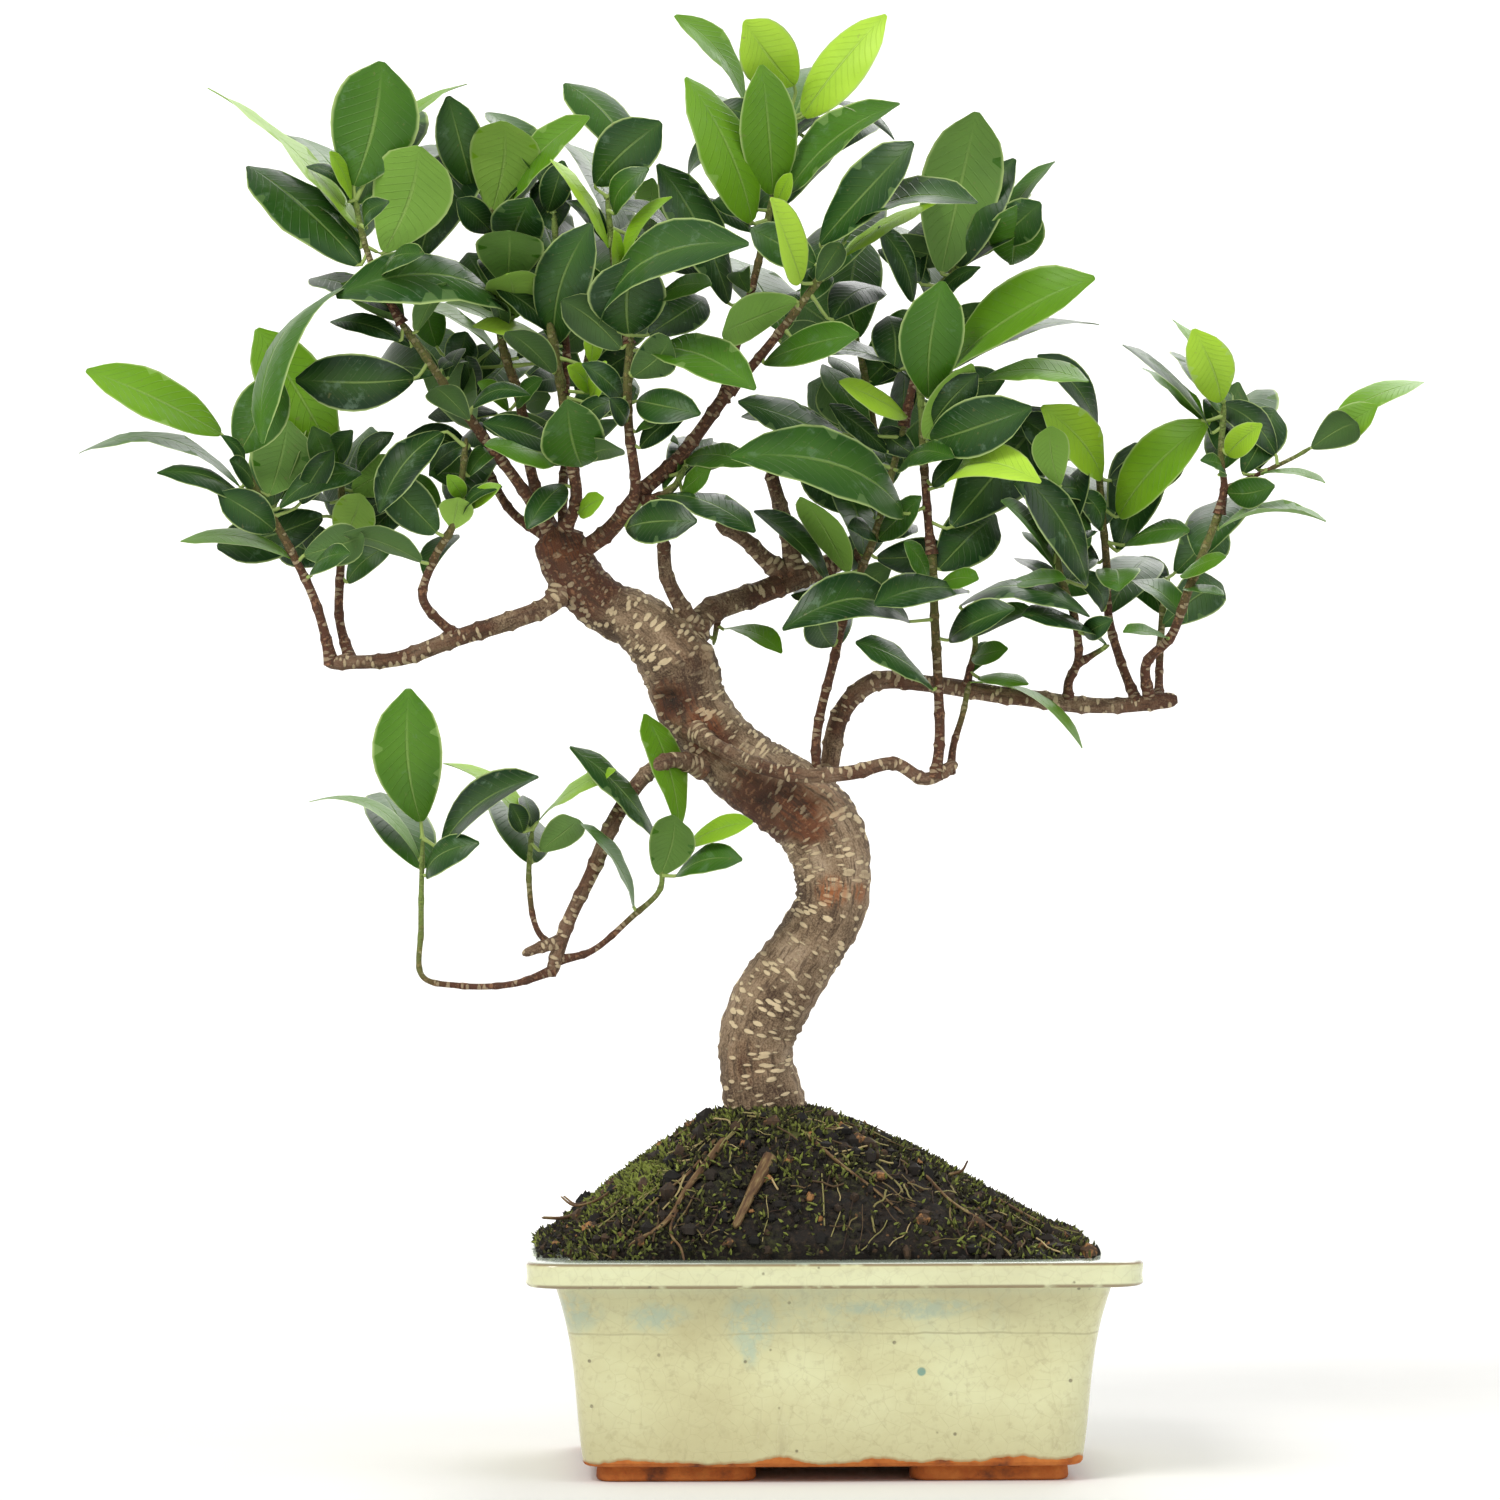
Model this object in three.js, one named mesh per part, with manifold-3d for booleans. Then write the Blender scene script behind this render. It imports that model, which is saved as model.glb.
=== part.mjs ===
// A bonsai fig in a glazed pot. Millimetres, +Z up. The pot's long side lies along X and its front faces -Y.
import * as THREE from 'three';
import { mergeVertices } from 'three/addons/utils/BufferGeometryUtils.js';
import Module from 'manifold-3d';

const wasm = await Module();
wasm.setup();

// Pot
const potLength = 192;
const potWidth = 146;
const potHeight = 70;
const rimBand = 8;
const rimOverhang = 9;
const bottomInset = 18;
const potCorner = 11;
const rimRound = 1.2;
const potWall = 6;
const potFloor = 5;
const sideBow = 1.5;
const footHeight = 5;
const footLength = 50;
const footWidth = 12;
const footInset = 4;
const drainRadius = 8;
const drainSpacing = 78;

// Drainage screens
const screenOverlap = 5;
const screenThickness = 1;
const screenSlots = 3;

// Soil and what lies on it
const soilPeak = 43; // above the rim, at the trunk
const soilEdge = 3; // below the rim, at the long walls
const mossThickness = 3.2;

// Plant
const trunkGirth = 1; // scales the trunk's radii
const leafWidth = 1; // scales every blade's width
const leafShape = 0.42; // usual width of a blade as a share of its length
const leafThickness = 1;
const shortBlade = 24; // below this a blade has one station between heel and tip
const petioleRadius = 0.8;
const trunkX = -20;

// Fits
const gap = 0.35; // between pieces that touch
const crumb = 0.08; // edges shorter than this are closed up
const tolerance = 1e-3; // corners of a finished piece nearer than this are one

// The layout below is given as it shows from a viewpoint 2 m in front, on the plane through the trunk. A
// third number moves a place forwards (-) or backwards (+) along its line of sight. Heights are over a pot
// of plantDatum.
const viewX = -94;
const viewY = -2000;
const viewZ = 228.3;
const plantDatum = 70;

const trunkRoute = [
  [-19, 90, 0, 17], [-19, 104, 0, 15.5], [-19.5, 113, 0, 13.5], [-22, 127, -1, 12], [-21.8, 137, -2, 12.2],
  [-18, 147, -3, 12.3], [-4.5, 167, -3, 11.7], [1, 177, -3, 11.5], [2.2, 187, -2, 12.2], [1, 197, -1, 12.8],
  [-4, 206, 0, 13], [-13, 213.5, 1, 13.5], [-25, 222, 2, 12.5], [-35, 231, 2, 11.5], [-43, 243, 2, 11.2],
  [-48, 256, 1, 12.2], [-60, 269, 0, 9.6], [-70, 274, 0, 8.7], [-78, 281, -1, 8.5], [-84, 291, -1, 8.5],
  [-87, 300, -1, 7.5]];
// Each root runs from the trunk's foot into the mound: its direction in degrees, reach and drop
const roots = [[200, 34, 26], [262, 30, 24], [325, 36, 26], [35, 34, 28], [110, 32, 28]];

const branches = {
  branch_left_upper: { girth: [3.3, 2.2], paths: [
    [[-84, 281, -3], [-88, 275, -6], [-100, 270, -8], [-117, 264.5, -7], [-137, 257.5, -5],
     [-160, 256, -4]]] },
  branch_left_lower: { girth: [2.6, 2.1], paths: [
    [[-40, 223, -4], [-50, 225, -13], [-57, 221, -17], [-66, 209, -18], [-75, 189, -20],
     [-83, 172, -20], [-88, 156, -19]],
    [[-85, 167, -20], [-92, 165, -22], [-97, 163, -24]]] },
  branch_right_upper: { girth: [4, 3.3], paths: [
    [[-44, 262, 2], [-38, 272, 8], [-20, 279, 14], [-10, 283, 16], [0, 287, 18], [12, 292, 20]],
    [[-14, 285, 16], [-20, 290, 14], [-25, 295, 12], [-35, 301, 9]],
    [[-10, 284, 16], [-12, 297, 15], [-15, 308, 14], [-18, 318, 13]],
    [[-41, 267, 4], [-45, 272, 0], [-51, 284, -3], [-52, 296, -5]]] },
  branch_right_long: { girth: [3.2, 2.5], paths: [
    [[-2, 206, 4], [1, 222, 7], [5, 240, 9], [15, 250, 9], [33, 249.5, 8], [60, 245.5, 6],
     [90, 242.5, 4], [113, 244.5, 2]]] },
  branch_front_low: { girth: [2.6, 2], paths: [
    [[-42, 235, -6], [-36, 230, -16], [-26, 225, -18], [-10, 220.5, -19], [8, 221, -19],
     [22, 224, -17], [32, 219, -15], [42, 224, -12]]] },
  branch_crown: { girth: [2.8, 1.9], paths: [
    [[-84, 288, -2], [-70, 298, -8], [-60, 310, -11], [-47, 322, -12], [-35, 338, -12], [-29, 346, -12]]] },
};

const shoots = {
  shoot_left_outer: { girth: [1.6, 1.1], paths: [
    [[-158, 256, -4], [-163, 275, -8], [-171, 292, -10], [-182, 311, -12], [-187, 322, -13]]], leaves: [
    [-193, 329, -13, -235.5, 351, -22, 14, 3], [-187, 312, -12, -238, 326, -4, 5, 9],
    [-184, 306, -11, -213, 318, -24, 6, 4], [-187.5, 323, -13, -175, 348, -20, 16, 2],
    [-178, 309.5, -11, -172, 333, 2, -18, 2], [-170, 289, -9, -206, 297, -2, 5, 3],
    [-168, 307, -9, -158, 324, -16, 8, 2], [-176, 306, -6, -170, 338, 30, 16, 3]] },
  shoot_left_inner: { girth: [1.6, 1.1], paths: [
    [[-152, 256.5, -3], [-155.5, 270, 2], [-155, 291, 6], [-155, 314, 8], [-156, 321, 9]]], leaves: [
    [-157.5, 323, 9, -182, 363, 2, 20, 3], [-160.5, 303, 7, -194.8, 293, 14, 15, 3],
    [-154.3, 295, 5, -148.5, 310, -6, -13, 1], [-150, 290.5, 5, -130.5, 310.5, 12, 9, 3],
    [-159.5, 290, 5, -166, 299, 16, 8, 1], [-151.5, 311, 8, -134, 318.5, -2, -12, 2],
    [-150, 317, 8, -139, 330, 2, 6, 2], [-153, 300, 8, -146, 332, 40, 15, 3],
     [-156, 318, 9, -170, 345, 42, 16, 3]] },
  shoot_left_kinked: { girth: [1.6, 1], paths: [
    [[-117, 264.5, -6], [-122, 268, -8], [-129, 277, -12], [-125, 290, -14], [-119, 301, -15],
     [-115, 328, -17]]], leaves: [
    [-122.5, 330, -18, -142.8, 303.8, -26, 12, 4], [-114, 326, -16, -127, 316, -8, 6, 2],
    [-123.5, 306, -15, -135, 315, -6, 9, 1], [-119.5, 299, -15, -117.5, 309.5, -24, -10, 1],
    [-116, 309, -16, -121, 316, -22, 5, 1], [-114, 306, -16, -104, 313, -24, 5, 2],
    [-118, 305, -14, -108, 326, 22, 14, 3]] },
  shoot_left_middle: { girth: [1.9, 1.2], paths: [
    [[-88, 298, -2], [-98, 313, -8], [-110, 329, -15], [-122, 345, -20], [-130, 357, -22],
     [-136, 365, -23]]], leaves: [
    [-131.5, 347, -21, -169.5, 346.5, -30, 17, 6], [-136, 359, -23, -158.5, 365.5, -14, 7, 2],
    [-135, 366, -23, -155, 377, -12, -10, 3], [-138, 368, -23, -165, 380, 0, 9, 3],
    [-124, 349, -18, -146, 352, 18, 16, 4], [-112, 332, -14, -128, 350, 22, -14, 3]] },
  shoot_left_high: { girth: [1.2, 0.9], paths: [
    [[-135.5, 364.5, -23], [-143, 378, -24], [-148, 392, -25], [-150.5, 404, -26]]], leaves: [
    [-149.5, 395, -25, -196.7, 441, -32, 6, 3], [-149, 383, -24, -184.8, 415.5, -10, 17, 5],
    [-151, 408, -26, -142, 448.5, -34, 26, 3], [-141.5, 387, -24, -130, 421.5, -40, -24, 3],
    [-151.5, 404, -26, -158.5, 419.5, -36, 4, 1], [-150, 377.5, -24, -183, 328, -44, 7, 11],
    [-140, 421, -20, -115, 441.5, -8, 5, 3], [-130, 385, -18, -112, 421, 10, 20, 3],
    [-148, 392, -24, -168, 424, 30, 18, 4], [-150, 402, -25, -136, 436, 20, 20, 3]] },
  shoot_rear_left: { girth: [1.6, 1.1], paths: [
    [[-88, 296, 3], [-100, 304, 8], [-109, 320, 14], [-114, 340, 18], [-114, 350, 19]]], leaves: [
    [-105, 336, 15, -127.5, 336, 20, 6, 2], [-120, 350, 18, -115, 362, 10, 10, 1],
    [-112, 346, 18, -106, 358, 26, 9, 1], [-103, 352, 16, -133, 371.5, 4, 4, 3],
    [-124.5, 357, 19, -128, 371, 26, 10, 1], [-103, 362, 18, -123, 372, 34, 6, 2],
    [-114, 344, 19, -130, 364, 48, 16, 3], [-112, 338, 17, -96, 356, 46, 15, 3]] },
  shoot_crown_left: { girth: [1.9, 1.3], paths: [
    [[-87, 297, 0], [-94, 316, -3], [-98, 340, -6], [-104, 361, -8], [-103, 380, -8]]], leaves: [
    [-100, 367, -9, -156, 375.5, -34, 15, 13], [-83, 354, -6, -112, 365.5, -22, 5, 2],
    [-101.5, 337, -7, -111, 346, -16, 5, 1], [-99, 338, -7, -91, 347, -18, 5, 1],
    [-102, 377, -14, -101.5, 394, -40, -20, 3], [-100, 366, -8, -102, 381, -32, -16, 2]] },
  shoot_crown_left_top: { girth: [1.2, 0.9], paths: [
    [[-103, 379, -8], [-105, 392, -6], [-108, 404, -4], [-112, 409, -3]]], leaves: [
    [-113, 408, -3, -121, 437.5, -14, 14, 3], [-107, 400, -5, -103, 430.5, -24, -21, 3],
    [-100, 388, -7, -95, 404, -30, 16, 2], [-101, 404, -4, -75.5, 431, -20, 10, 4],
    [-108, 402, -3, -126, 424, 40, 17, 3], [-106, 396, -4, -92, 420, 44, 16, 3]] },
  shoot_crown_front: { girth: [2, 1.5], paths: [
    [[-85, 296, -3], [-80, 308, -10], [-83, 328, -15], [-84, 340, -17], [-88.5, 365, -20]]], leaves: [
    [-78, 319, -16, -83, 340, -40, 19, 2], [-86, 325, -14, -109.5, 333, -28, 9, 3],
    [-86, 321, -16, -108.5, 326.5, -38, 8, 2], [-83.5, 313, -12, -95.5, 299, -26, 9, 3],
    [-75, 352, -19, -74, 364.5, -27, 5.5, 1], [-75.5, 343, -18, -82, 351, -32, 6, 1],
    [-74.5, 340, -20, -71, 352.5, -29, 5, 1], [-79, 304, -10, -71, 309, -24, 6, 1],
    [-82, 318, -12, -70, 334, 30, 15, 3]] },
  shoot_crown_middle: { girth: [1.3, 1], paths: [
    [[-84, 342, -17], [-83, 356, -13], [-85, 370, -12], [-87, 400, -10]]], leaves: [
    [-87, 358, -14, -75.8, 396.5, -34, 17, 3], [-88, 405, -10, -108, 433, 8, 10, 4],
    [-89, 400.5, -10, -84, 417, -22, 9, 2], [-86, 384, -10, -98, 410, 36, 17, 3],
    [-84, 372, -11, -70, 398, 34, 16, 3]] },
  shoot_crown_round: { girth: [1.7, 1.3], paths: [
    [[-63, 304, -11], [-61, 313, -18], [-63, 330, -23], [-63.5, 345, -26], [-62.5, 361, -28]]], leaves: [
    [-61, 330, -23, -42, 337, -36, 5, 2], [-60.5, 340, -24, -41, 336.5, -44, 11, 3],
    [-57, 356, -27, -22.5, 344.5, -50, 13, 7], [-63, 361, -28, -62, 385, -44, 23, 2],
    [-57, 361, -26, -38, 374, -6, 13, 2], [-55, 372, -30, -36.5, 377, -48, 7, 2],
    [-72, 364, -28, -24.5, 390.5, -60, 14, 13]] },
  shoot_crown_round_top: { girth: [1.2, 0.9], paths: [
    [[-63, 358, -27], [-66, 373, -24], [-68, 385, -22], [-70, 405, -19]]], leaves: [
    [-69.5, 389, -22, -88.5, 417, -38, 5, 2], [-66.5, 381, -23, -68, 394.5, -34, 4, 1],
    [-65, 383, -23, -49.5, 405.5, -34, 4.5, 2], [-69, 402, -19, -48, 390, -6, 5, 5],
    [-74, 409, -20, -52.5, 429.5, -34, 17, 4], [-60, 414, -12, -83.5, 442, 4, 13, 4],
    [-56, 392, -16, -55, 411.5, 2, -10, 2], [-69, 395, -18, -80, 424, 36, 16, 3],
    [-68, 380, -20, -52, 404, 34, 17, 3]] },
  shoot_crown_low: { girth: [1.3, 1], paths: [
    [[-61, 308, -11], [-55, 309, -15], [-49, 312, -17], [-45, 319, -16]]], leaves: [
    [-54.5, 309.5, -16, -22.5, 299.5, -36, 8, 4], [-64, 299, -14, -41.5, 301.5, -38, 13, 4],
    [-45, 321, -14, -23.5, 320, -32, 8, 3], [-46, 311, -16, -37, 319, -28, 6, 1],
    [-50, 316, -14, -30, 326, 24, 15, 3]] },
  shoot_centre_left: { girth: [1.6, 1.1], paths: [
    [[-31, 343, -12], [-23, 352, -12], [-15, 362, -13], [-8, 371, -14], [4, 388, -16]]], leaves: [
    [-9, 372, -16, -34, 362, -40, -12, 3], [-8, 378, -17, -18, 405, -46, 11, 2],
    [-20, 352, -13, 11, 361, -34, 11, 4], [-6, 355, -12, 27, 348, 6, 6, 4],
    [2, 366, -10, 18, 378, 16, 12, 2], [-2, 390, -17, 28.5, 423, -36, 15, 4],
    [6, 391, -16, 48, 405, -48, 8, 8], [5, 386, -16, 35.5, 405, -6, 5, 2],
    [-2, 378, -12, 14, 402, 36, 17, 3], [-14, 362, -10, -30, 386, 34, 17, 3]] },
  shoot_crown_top: { girth: [1.4, 1], paths: [
    [[-33, 340, -12], [-28, 360, -8], [-24, 375, -6], [-21, 387, -5], [-15, 415, -3],
     [-12, 430, -2]]], leaves: [
    [-23.5, 397, -8, -43.5, 444, -26, 17, 4], [-17, 406, -5, -21, 448, -22, 17.5, 3],
    [-12, 407, -4, 22, 437, -22, 12, 4], [-16, 402, -5, -11, 413, -14, 5, 1],
    [-25, 432, 2, -47, 464.5, -6, 8, 3], [-10, 441, -2, -26, 461.5, -24, 18, 2],
    [-7.5, 431, -2, 18.5, 464.5, -14, 15, 3], [2, 436, -2, 22, 424, -14, 4, 4],
    [-30, 424, 2, -44, 411, 14, 6, 3], [-25, 397, -4, -36, 418, 14, 10, 3],
    [-31, 371, -8, -54, 416, -22, 15, 4], [4, 420, 6, 16, 431, 24, 10, 2],
    [-14, 412, 0, -34, 440, 44, 18, 3], [-12, 424, 0, 6, 450, 46, 18, 3],
     [-18, 400, -2, 2, 424, 48, 18, 3]] },
  shoot_centre_low: { girth: [1.6, 1.1], paths: [
    [[-2, 210, -2], [-3, 232, 0], [2, 255, 2], [8, 278, 3], [15, 295, 0], [20, 313, -2],
     [26, 335, -4]]], leaves: [
    [1.5, 280, 2, -22, 305.5, -12, 7, 3], [7, 285, 2, -7.5, 310, -20, -9, 2],
    [17, 296, 0, 31, 309.5, -14, 8, 2], [16, 295, 0, 29, 300, 14, 6, 2],
    [12, 322, -3, -28, 340, -26, 12, 3], [4, 330, 0, -27, 337, 14, 7, 2],
    [26, 335, -5, 4, 346, -22, 8, 2], [14, 330, -4, -1, 352, 8, 9, 2], [25, 332, -3, 26, 352, 14, 8, 2],
    [12, 290, 2, 2, 316, 40, 15, 3], [20, 313, -1, 8, 334, 36, 15, 3], [4, 262, 4, -8, 284, 38, 14, 3]] },
  shoot_centre_right: { girth: [1.6, 1.4], paths: [
    [[35, 219, -15], [36.5, 230, -13], [36, 250, -11], [35, 270, -10], [34, 294, -9]],
    [[40, 221, -13], [41, 230, -8], [44, 240, -5], [46, 250, -3]]], leaves: [
    [27, 269.5, -14, -13.5, 268, -30, 14, 10], [46, 279, -14, 16, 276, -34, 9, 3],
    [33, 281, -12, 25.5, 295, -24, 6, 1], [36, 281, -12, 49, 283, -26, 6, 1],
    [34.5, 247.5, -13, 9.5, 262.8, -28, 7, 3], [39.5, 263.5, -11, 60, 274, -30, 9, 3],
    [36, 286, -9, 55, 304, 8, 17, 3]] },
  shoot_centre_right_high: { girth: [1.4, 1.2], paths: [
    [[34, 291, -9], [33, 300, -9], [31.5, 320, -9], [31, 335, -9], [30, 346, -9]]], leaves: [
    [25, 304, -14, -31, 322, -46, 20, 12], [37.5, 313, -12, 68, 316, -38, 10, 7],
    [40, 299.5, -8, 71.5, 338, 14, 24, 4], [33, 327, -10, 65, 338, -36, 17, 6],
    [33, 341, -10, 37.5, 378.5, -32, 19, 3], [38, 349, -10, 86, 380.5, -38, 15, 5],
    [40, 350, -6, 87, 368, 10, 7, 4], [32, 328, -12, 47, 352, -26, -12, 2],
     [50, 347, -14, 84.5, 346, -32, 8, 4]] },
  shoot_right_crown: { girth: [1.3, 1], paths: [
    [[25, 332, -4], [29, 350, -2], [32, 364, 0], [36, 376, 2], [44, 384, 4], [55, 390, 6]]], leaves: [
    [37, 381, 0, 48.5, 433, -24, -24, 5], [28, 372, 0, 17, 396, -14, 9, 2],
    [42, 383, 2, 59.5, 418.5, -6, 14, 4], [60, 384, 8, 63, 404, -12, 17, 3],
    [57, 396, 8, 72.5, 418, 4, 5, 2], [30, 378, 2, 30, 398, 20, 9, 2], [22, 350, -2, 20, 368, 14, 14, 2],
    [40, 380, 4, 62, 410, 48, 18, 3], [34, 370, 2, 26, 398, 46, 17, 3], [32, 360, 0, 60, 366, 44, 16, 3]] },
  shoot_right_low: { girth: [1.2, 0.8], paths: [
    [[45, 247.5, 7], [46, 253, 2], [48, 262, 0], [47, 270, -1]]], leaves: [
    [43, 274.5, -2, 84.5, 273.5, -24, 7, 8], [56, 280, -6, 76.5, 284.5, -22, 4, 1],
    [48, 265, -1, 67, 273, -14, 6, 2], [47, 258, 0, 58, 261, -14, 6, 1], [46.5, 253, 1, 57, 262, 12, 6, 2],
    [49, 251.5, 2, 65, 249.5, -10, 4, 2], [46, 250, 3, 83, 230, -12, 3, 6]] },
  shoot_right_middle: { girth: [1.4, 1], paths: [
    [[78, 243.5, 5], [78, 250, 0], [81, 257, -3], [80, 270, -9], [75, 286, -12], [74, 304, -14],
     [75, 313, -15]],
    [[81, 256, -3], [91, 262, -6]]], leaves: [
    [84, 281, -12, 64, 317, -26, 13, 4], [84, 293, -6, 68, 319, 8, 8, 3],
    [73, 288, -13, 56, 308, -34, 6, 2], [74, 286, -12, 63, 298, -2, 5, 2],
    [90, 262, -6, 63, 271.5, -26, 4, 4], [75, 293, -12, 83, 320, 2, 9, 2],
     [75, 313, -15, 72, 333, -30, -11, 2]] },
  shoot_right_inner: { girth: [1.5, 1.1], paths: [
    [[100, 243.5, 3], [95, 256, 7], [91, 270, 10], [90, 290, 9], [88, 314, 6], [88, 326, 5]]], leaves: [
    [88.5, 315, 4, 70.5, 338.5, -18, 14, 4], [94, 303, 8, 122.5, 334.5, -12, 15, 4],
    [94, 292, 10, 100, 327, 28, 17, 3], [96, 294, 8, 116.5, 299.5, -6, 6, 2],
    [93, 281, 8, 116, 269, -10, 6, 6], [91, 286, 8, 94, 281, -18, 13, 2],
    [87, 331, 4, 69.5, 355.5, -12, 9, 3], [91, 272, 10, 104, 292, 42, 15, 3],
     [89, 300, 8, 76, 322, 44, 15, 3]] },
  shoot_right_outer: { girth: [1.6, 1.3], paths: [
    [[104, 244, 3], [103, 256, -4], [111, 265, -10], [117, 281, -15], [123, 296, -17],
     [127, 306, -18]]], leaves: [
    [110, 264, -11, 96, 267, -24, 3, 1], [115, 280, -14, 127.8, 278, -26, 3, 1],
     [114, 284, -15, 128, 291, -28, 4, 1],
    [126, 299, -17, 161, 301, -32, 3, 5], [120, 290, -15, 132, 312, 22, 14, 3]] },
  shoot_right_top: { girth: [1.2, 0.9], paths: [
    [[126.5, 304, -18], [128, 313, -18], [127, 322, -18], [128, 340, -18]],
    [[128, 312, -18], [136, 315.5, -17], [150, 322, -15], [157, 326, -14]]], leaves: [
    [140, 317, -18, 160.5, 314, -32, 3, 2], [129, 311, -18, 144, 313, -34, 9, 1],
    [157, 326, -14, 177, 339, -26, 10, 2], [164, 335, -12, 192.5, 346.5, -4, 7, 3],
    [134, 317, -16, 144, 338, -2, 13, 3], [129, 323, -19, 139.5, 332.5, -34, 8, 1],
    [127, 340, -18, 118.5, 363, -34, 13.5, 3], [125, 341, -16, 111, 366, 2, 7, 3],
    [124, 330, -18, 97.5, 360.2, -34, 4, 3], [121, 334, -17, 101.5, 350.3, -2, 6, 2],
    [127, 318, -16, 138, 344, 28, 15, 3], [127, 336, -16, 116, 356, 26, 14, 3]] },
  shoot_right_rear: { girth: [1.5, 1], paths: [
    [[107, 244, 3], [107, 250, 10], [107.5, 262, 18], [109, 283, 26]]], leaves: [
    [112, 285, 29, 125, 303, 45, 16, 3], [108, 272, 23, 94, 290, 52, 15, 3],
     [108, 268, 20, 128, 282, 36, 14, 3]] },
  shoot_low_left: { girth: [1.1, 0.8], paths: [
    [[-87, 158, -19], [-100, 153.5, -21], [-118, 153, -20], [-129, 156, -18], [-129.5, 172, -16],
     [-129, 200, -14]]], leaves: [
    [-129.5, 205, -14, -133.5, 248.5, -30, 20.5, 5], [-130, 193, -14, -164.5, 213.5, -2, 3, 8],
    [-123, 197, -15, -92.5, 220, -36, 10, 4], [-128, 188, -15, -112, 199, -32, 8, 4],
    [-129, 190, -14, -142, 216, 24, 16, 3]] },
  shoot_low_middle: { girth: [1, 0.8], paths: [
    [[-85, 164, -20], [-92, 170, -20], [-95, 186, -19], [-94, 203, -17]]], leaves: [
    [-95.5, 203, -17, -121.5, 225.5, -4, 5, 3], [-97, 202, -17, -101, 211, -28, 6, 1],
    [-94, 203, -17, -97, 213.5, -6, 5, 1], [-92.5, 205, -18, -68, 223, -30, 3, 2],
    [-91.5, 196, -18, -78.5, 207, -34, -9.5, 2], [-94, 192, -17, -104, 214, 20, 14, 3]] },
  shoot_low_right: { girth: [1.1, 0.8], paths: [
    [[-86, 161, -19], [-75, 164, -20], [-62, 175, -20], [-53, 184, -20], [-53, 194, -20]]], leaves: [
    [-54.5, 200, -20, -82, 229.5, -32, 7, 3], [-61.5, 178, -20, -79, 204.5, -36, 4, 3],
    [-53, 188, -20, -48.5, 208, -36, -13.5, 2], [-45, 197, -20, -24, 206, -32, 6, 2],
    [-48, 188, -20, -27.5, 194, -36, 7, 2], [-47, 203, -16, -58, 240, -6, 10, 3]] },
  shoot_inner: { girth: [1, 0.7], paths: [
    [[-34, 274, 9], [-35, 268, 12], [-36, 262, 16]]], leaves: [
    [-33, 267, 11, -14, 260.5, -2, 5, 2], [-40, 266, 16, -64, 273, 30, 5, 2]] },
  shoot_rear_centre: { girth: [1.7, 1.1], paths: [
    [[8, 290, 19], [14, 305, 26], [16, 320, 30], [14, 340, 34], [10, 360, 36]]], leaves: [
    [14, 305, 26, -6, 322, 46, 17, 3], [16, 320, 30, 36, 338, 50, 17, 3], [15, 330, 32, -6, 346, 54, 17, 3],
    [12, 345, 34, 30, 364, 58, 17, 3], [10, 358, 36, -12, 374, 58, 17, 3],
     [10, 360, 36, 12, 392, 62, 18, 3]] },
  shoot_rear_crown: { girth: [1.7, 1.1], paths: [
    [[-84, 294, 3], [-84, 315, 20], [-80, 335, 32], [-76, 355, 40], [-72, 375, 44]]], leaves: [
    [-83, 320, 23, -98, 334, 48, 17, 3], [-80, 335, 32, -62, 350, 54, 17, 3],
     [-78, 345, 36, -96, 360, 58, 17, 3],
    [-76, 355, 40, -58, 372, 60, 17, 3], [-73, 370, 43, -88, 388, 64, 17, 3],
     [-72, 375, 44, -64, 402, 62, 18, 3]] },
};

function place([x, z, y]) {
  const share = (y - viewY) / -viewY;
  const height = viewZ + (z - viewZ) * share;
  return new THREE.Vector3(viewX + (x - viewX) * share, y, height + potHeight - plantDatum);
}

// --- solids ---

function solidOf(geometry, near = tolerance / 10) {
  geometry.deleteAttribute('normal');
  geometry.deleteAttribute('uv');
  const merged = mergeVertices(geometry, near);
  const vertProperties = new Float32Array(merged.attributes.position.array);
  const triVerts = new Uint32Array(merged.index.array);
  return new wasm.Manifold(new wasm.Mesh({ numProp: 3, vertProperties, triVerts }));
}

// Corners nearer than the tolerance become one. A crumb that this leaves hanging on by a corner is left out.
function geometryOf(solid) {
  const rough = meshGeometry(largestBody(solid.simplify(crumb)));
  return meshGeometry(largestBody(solidOf(rough, tolerance)));
}

function meshGeometry(solid) {
  const { vertProperties, triVerts } = solid.getMesh();
  const geometry = new THREE.BufferGeometry();
  geometry.setAttribute('position', new THREE.BufferAttribute(vertProperties, 3));
  geometry.setIndex([...triVerts]);
  return geometry;
}

function joined(solids) {
  return solids.reduce((whole, solid) => whole.add(solid));
}

function boxOf(solid) {
  const { min, max } = solid.boundingBox();
  return new THREE.Box3(new THREE.Vector3(...min), new THREE.Vector3(...max));
}

function without(solid, others) {
  const box = boxOf(solid);
  const near = others.filter((other) => box.intersectsBox(boxOf(other)));
  return near.reduce((rest, other) => rest.subtract(other), solid);
}

// The largest connected body, where a cut leaves loose crumbs
function largestBody(solid) {
  const bodies = solid.decompose();
  return bodies.reduce((best, body) => (body.volume() > best.volume() ? body : best));
}

function middleOf(ring) {
  return ring.reduce((sum, point) => sum.add(point), new THREE.Vector3()).divideScalar(ring.length);
}

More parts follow.
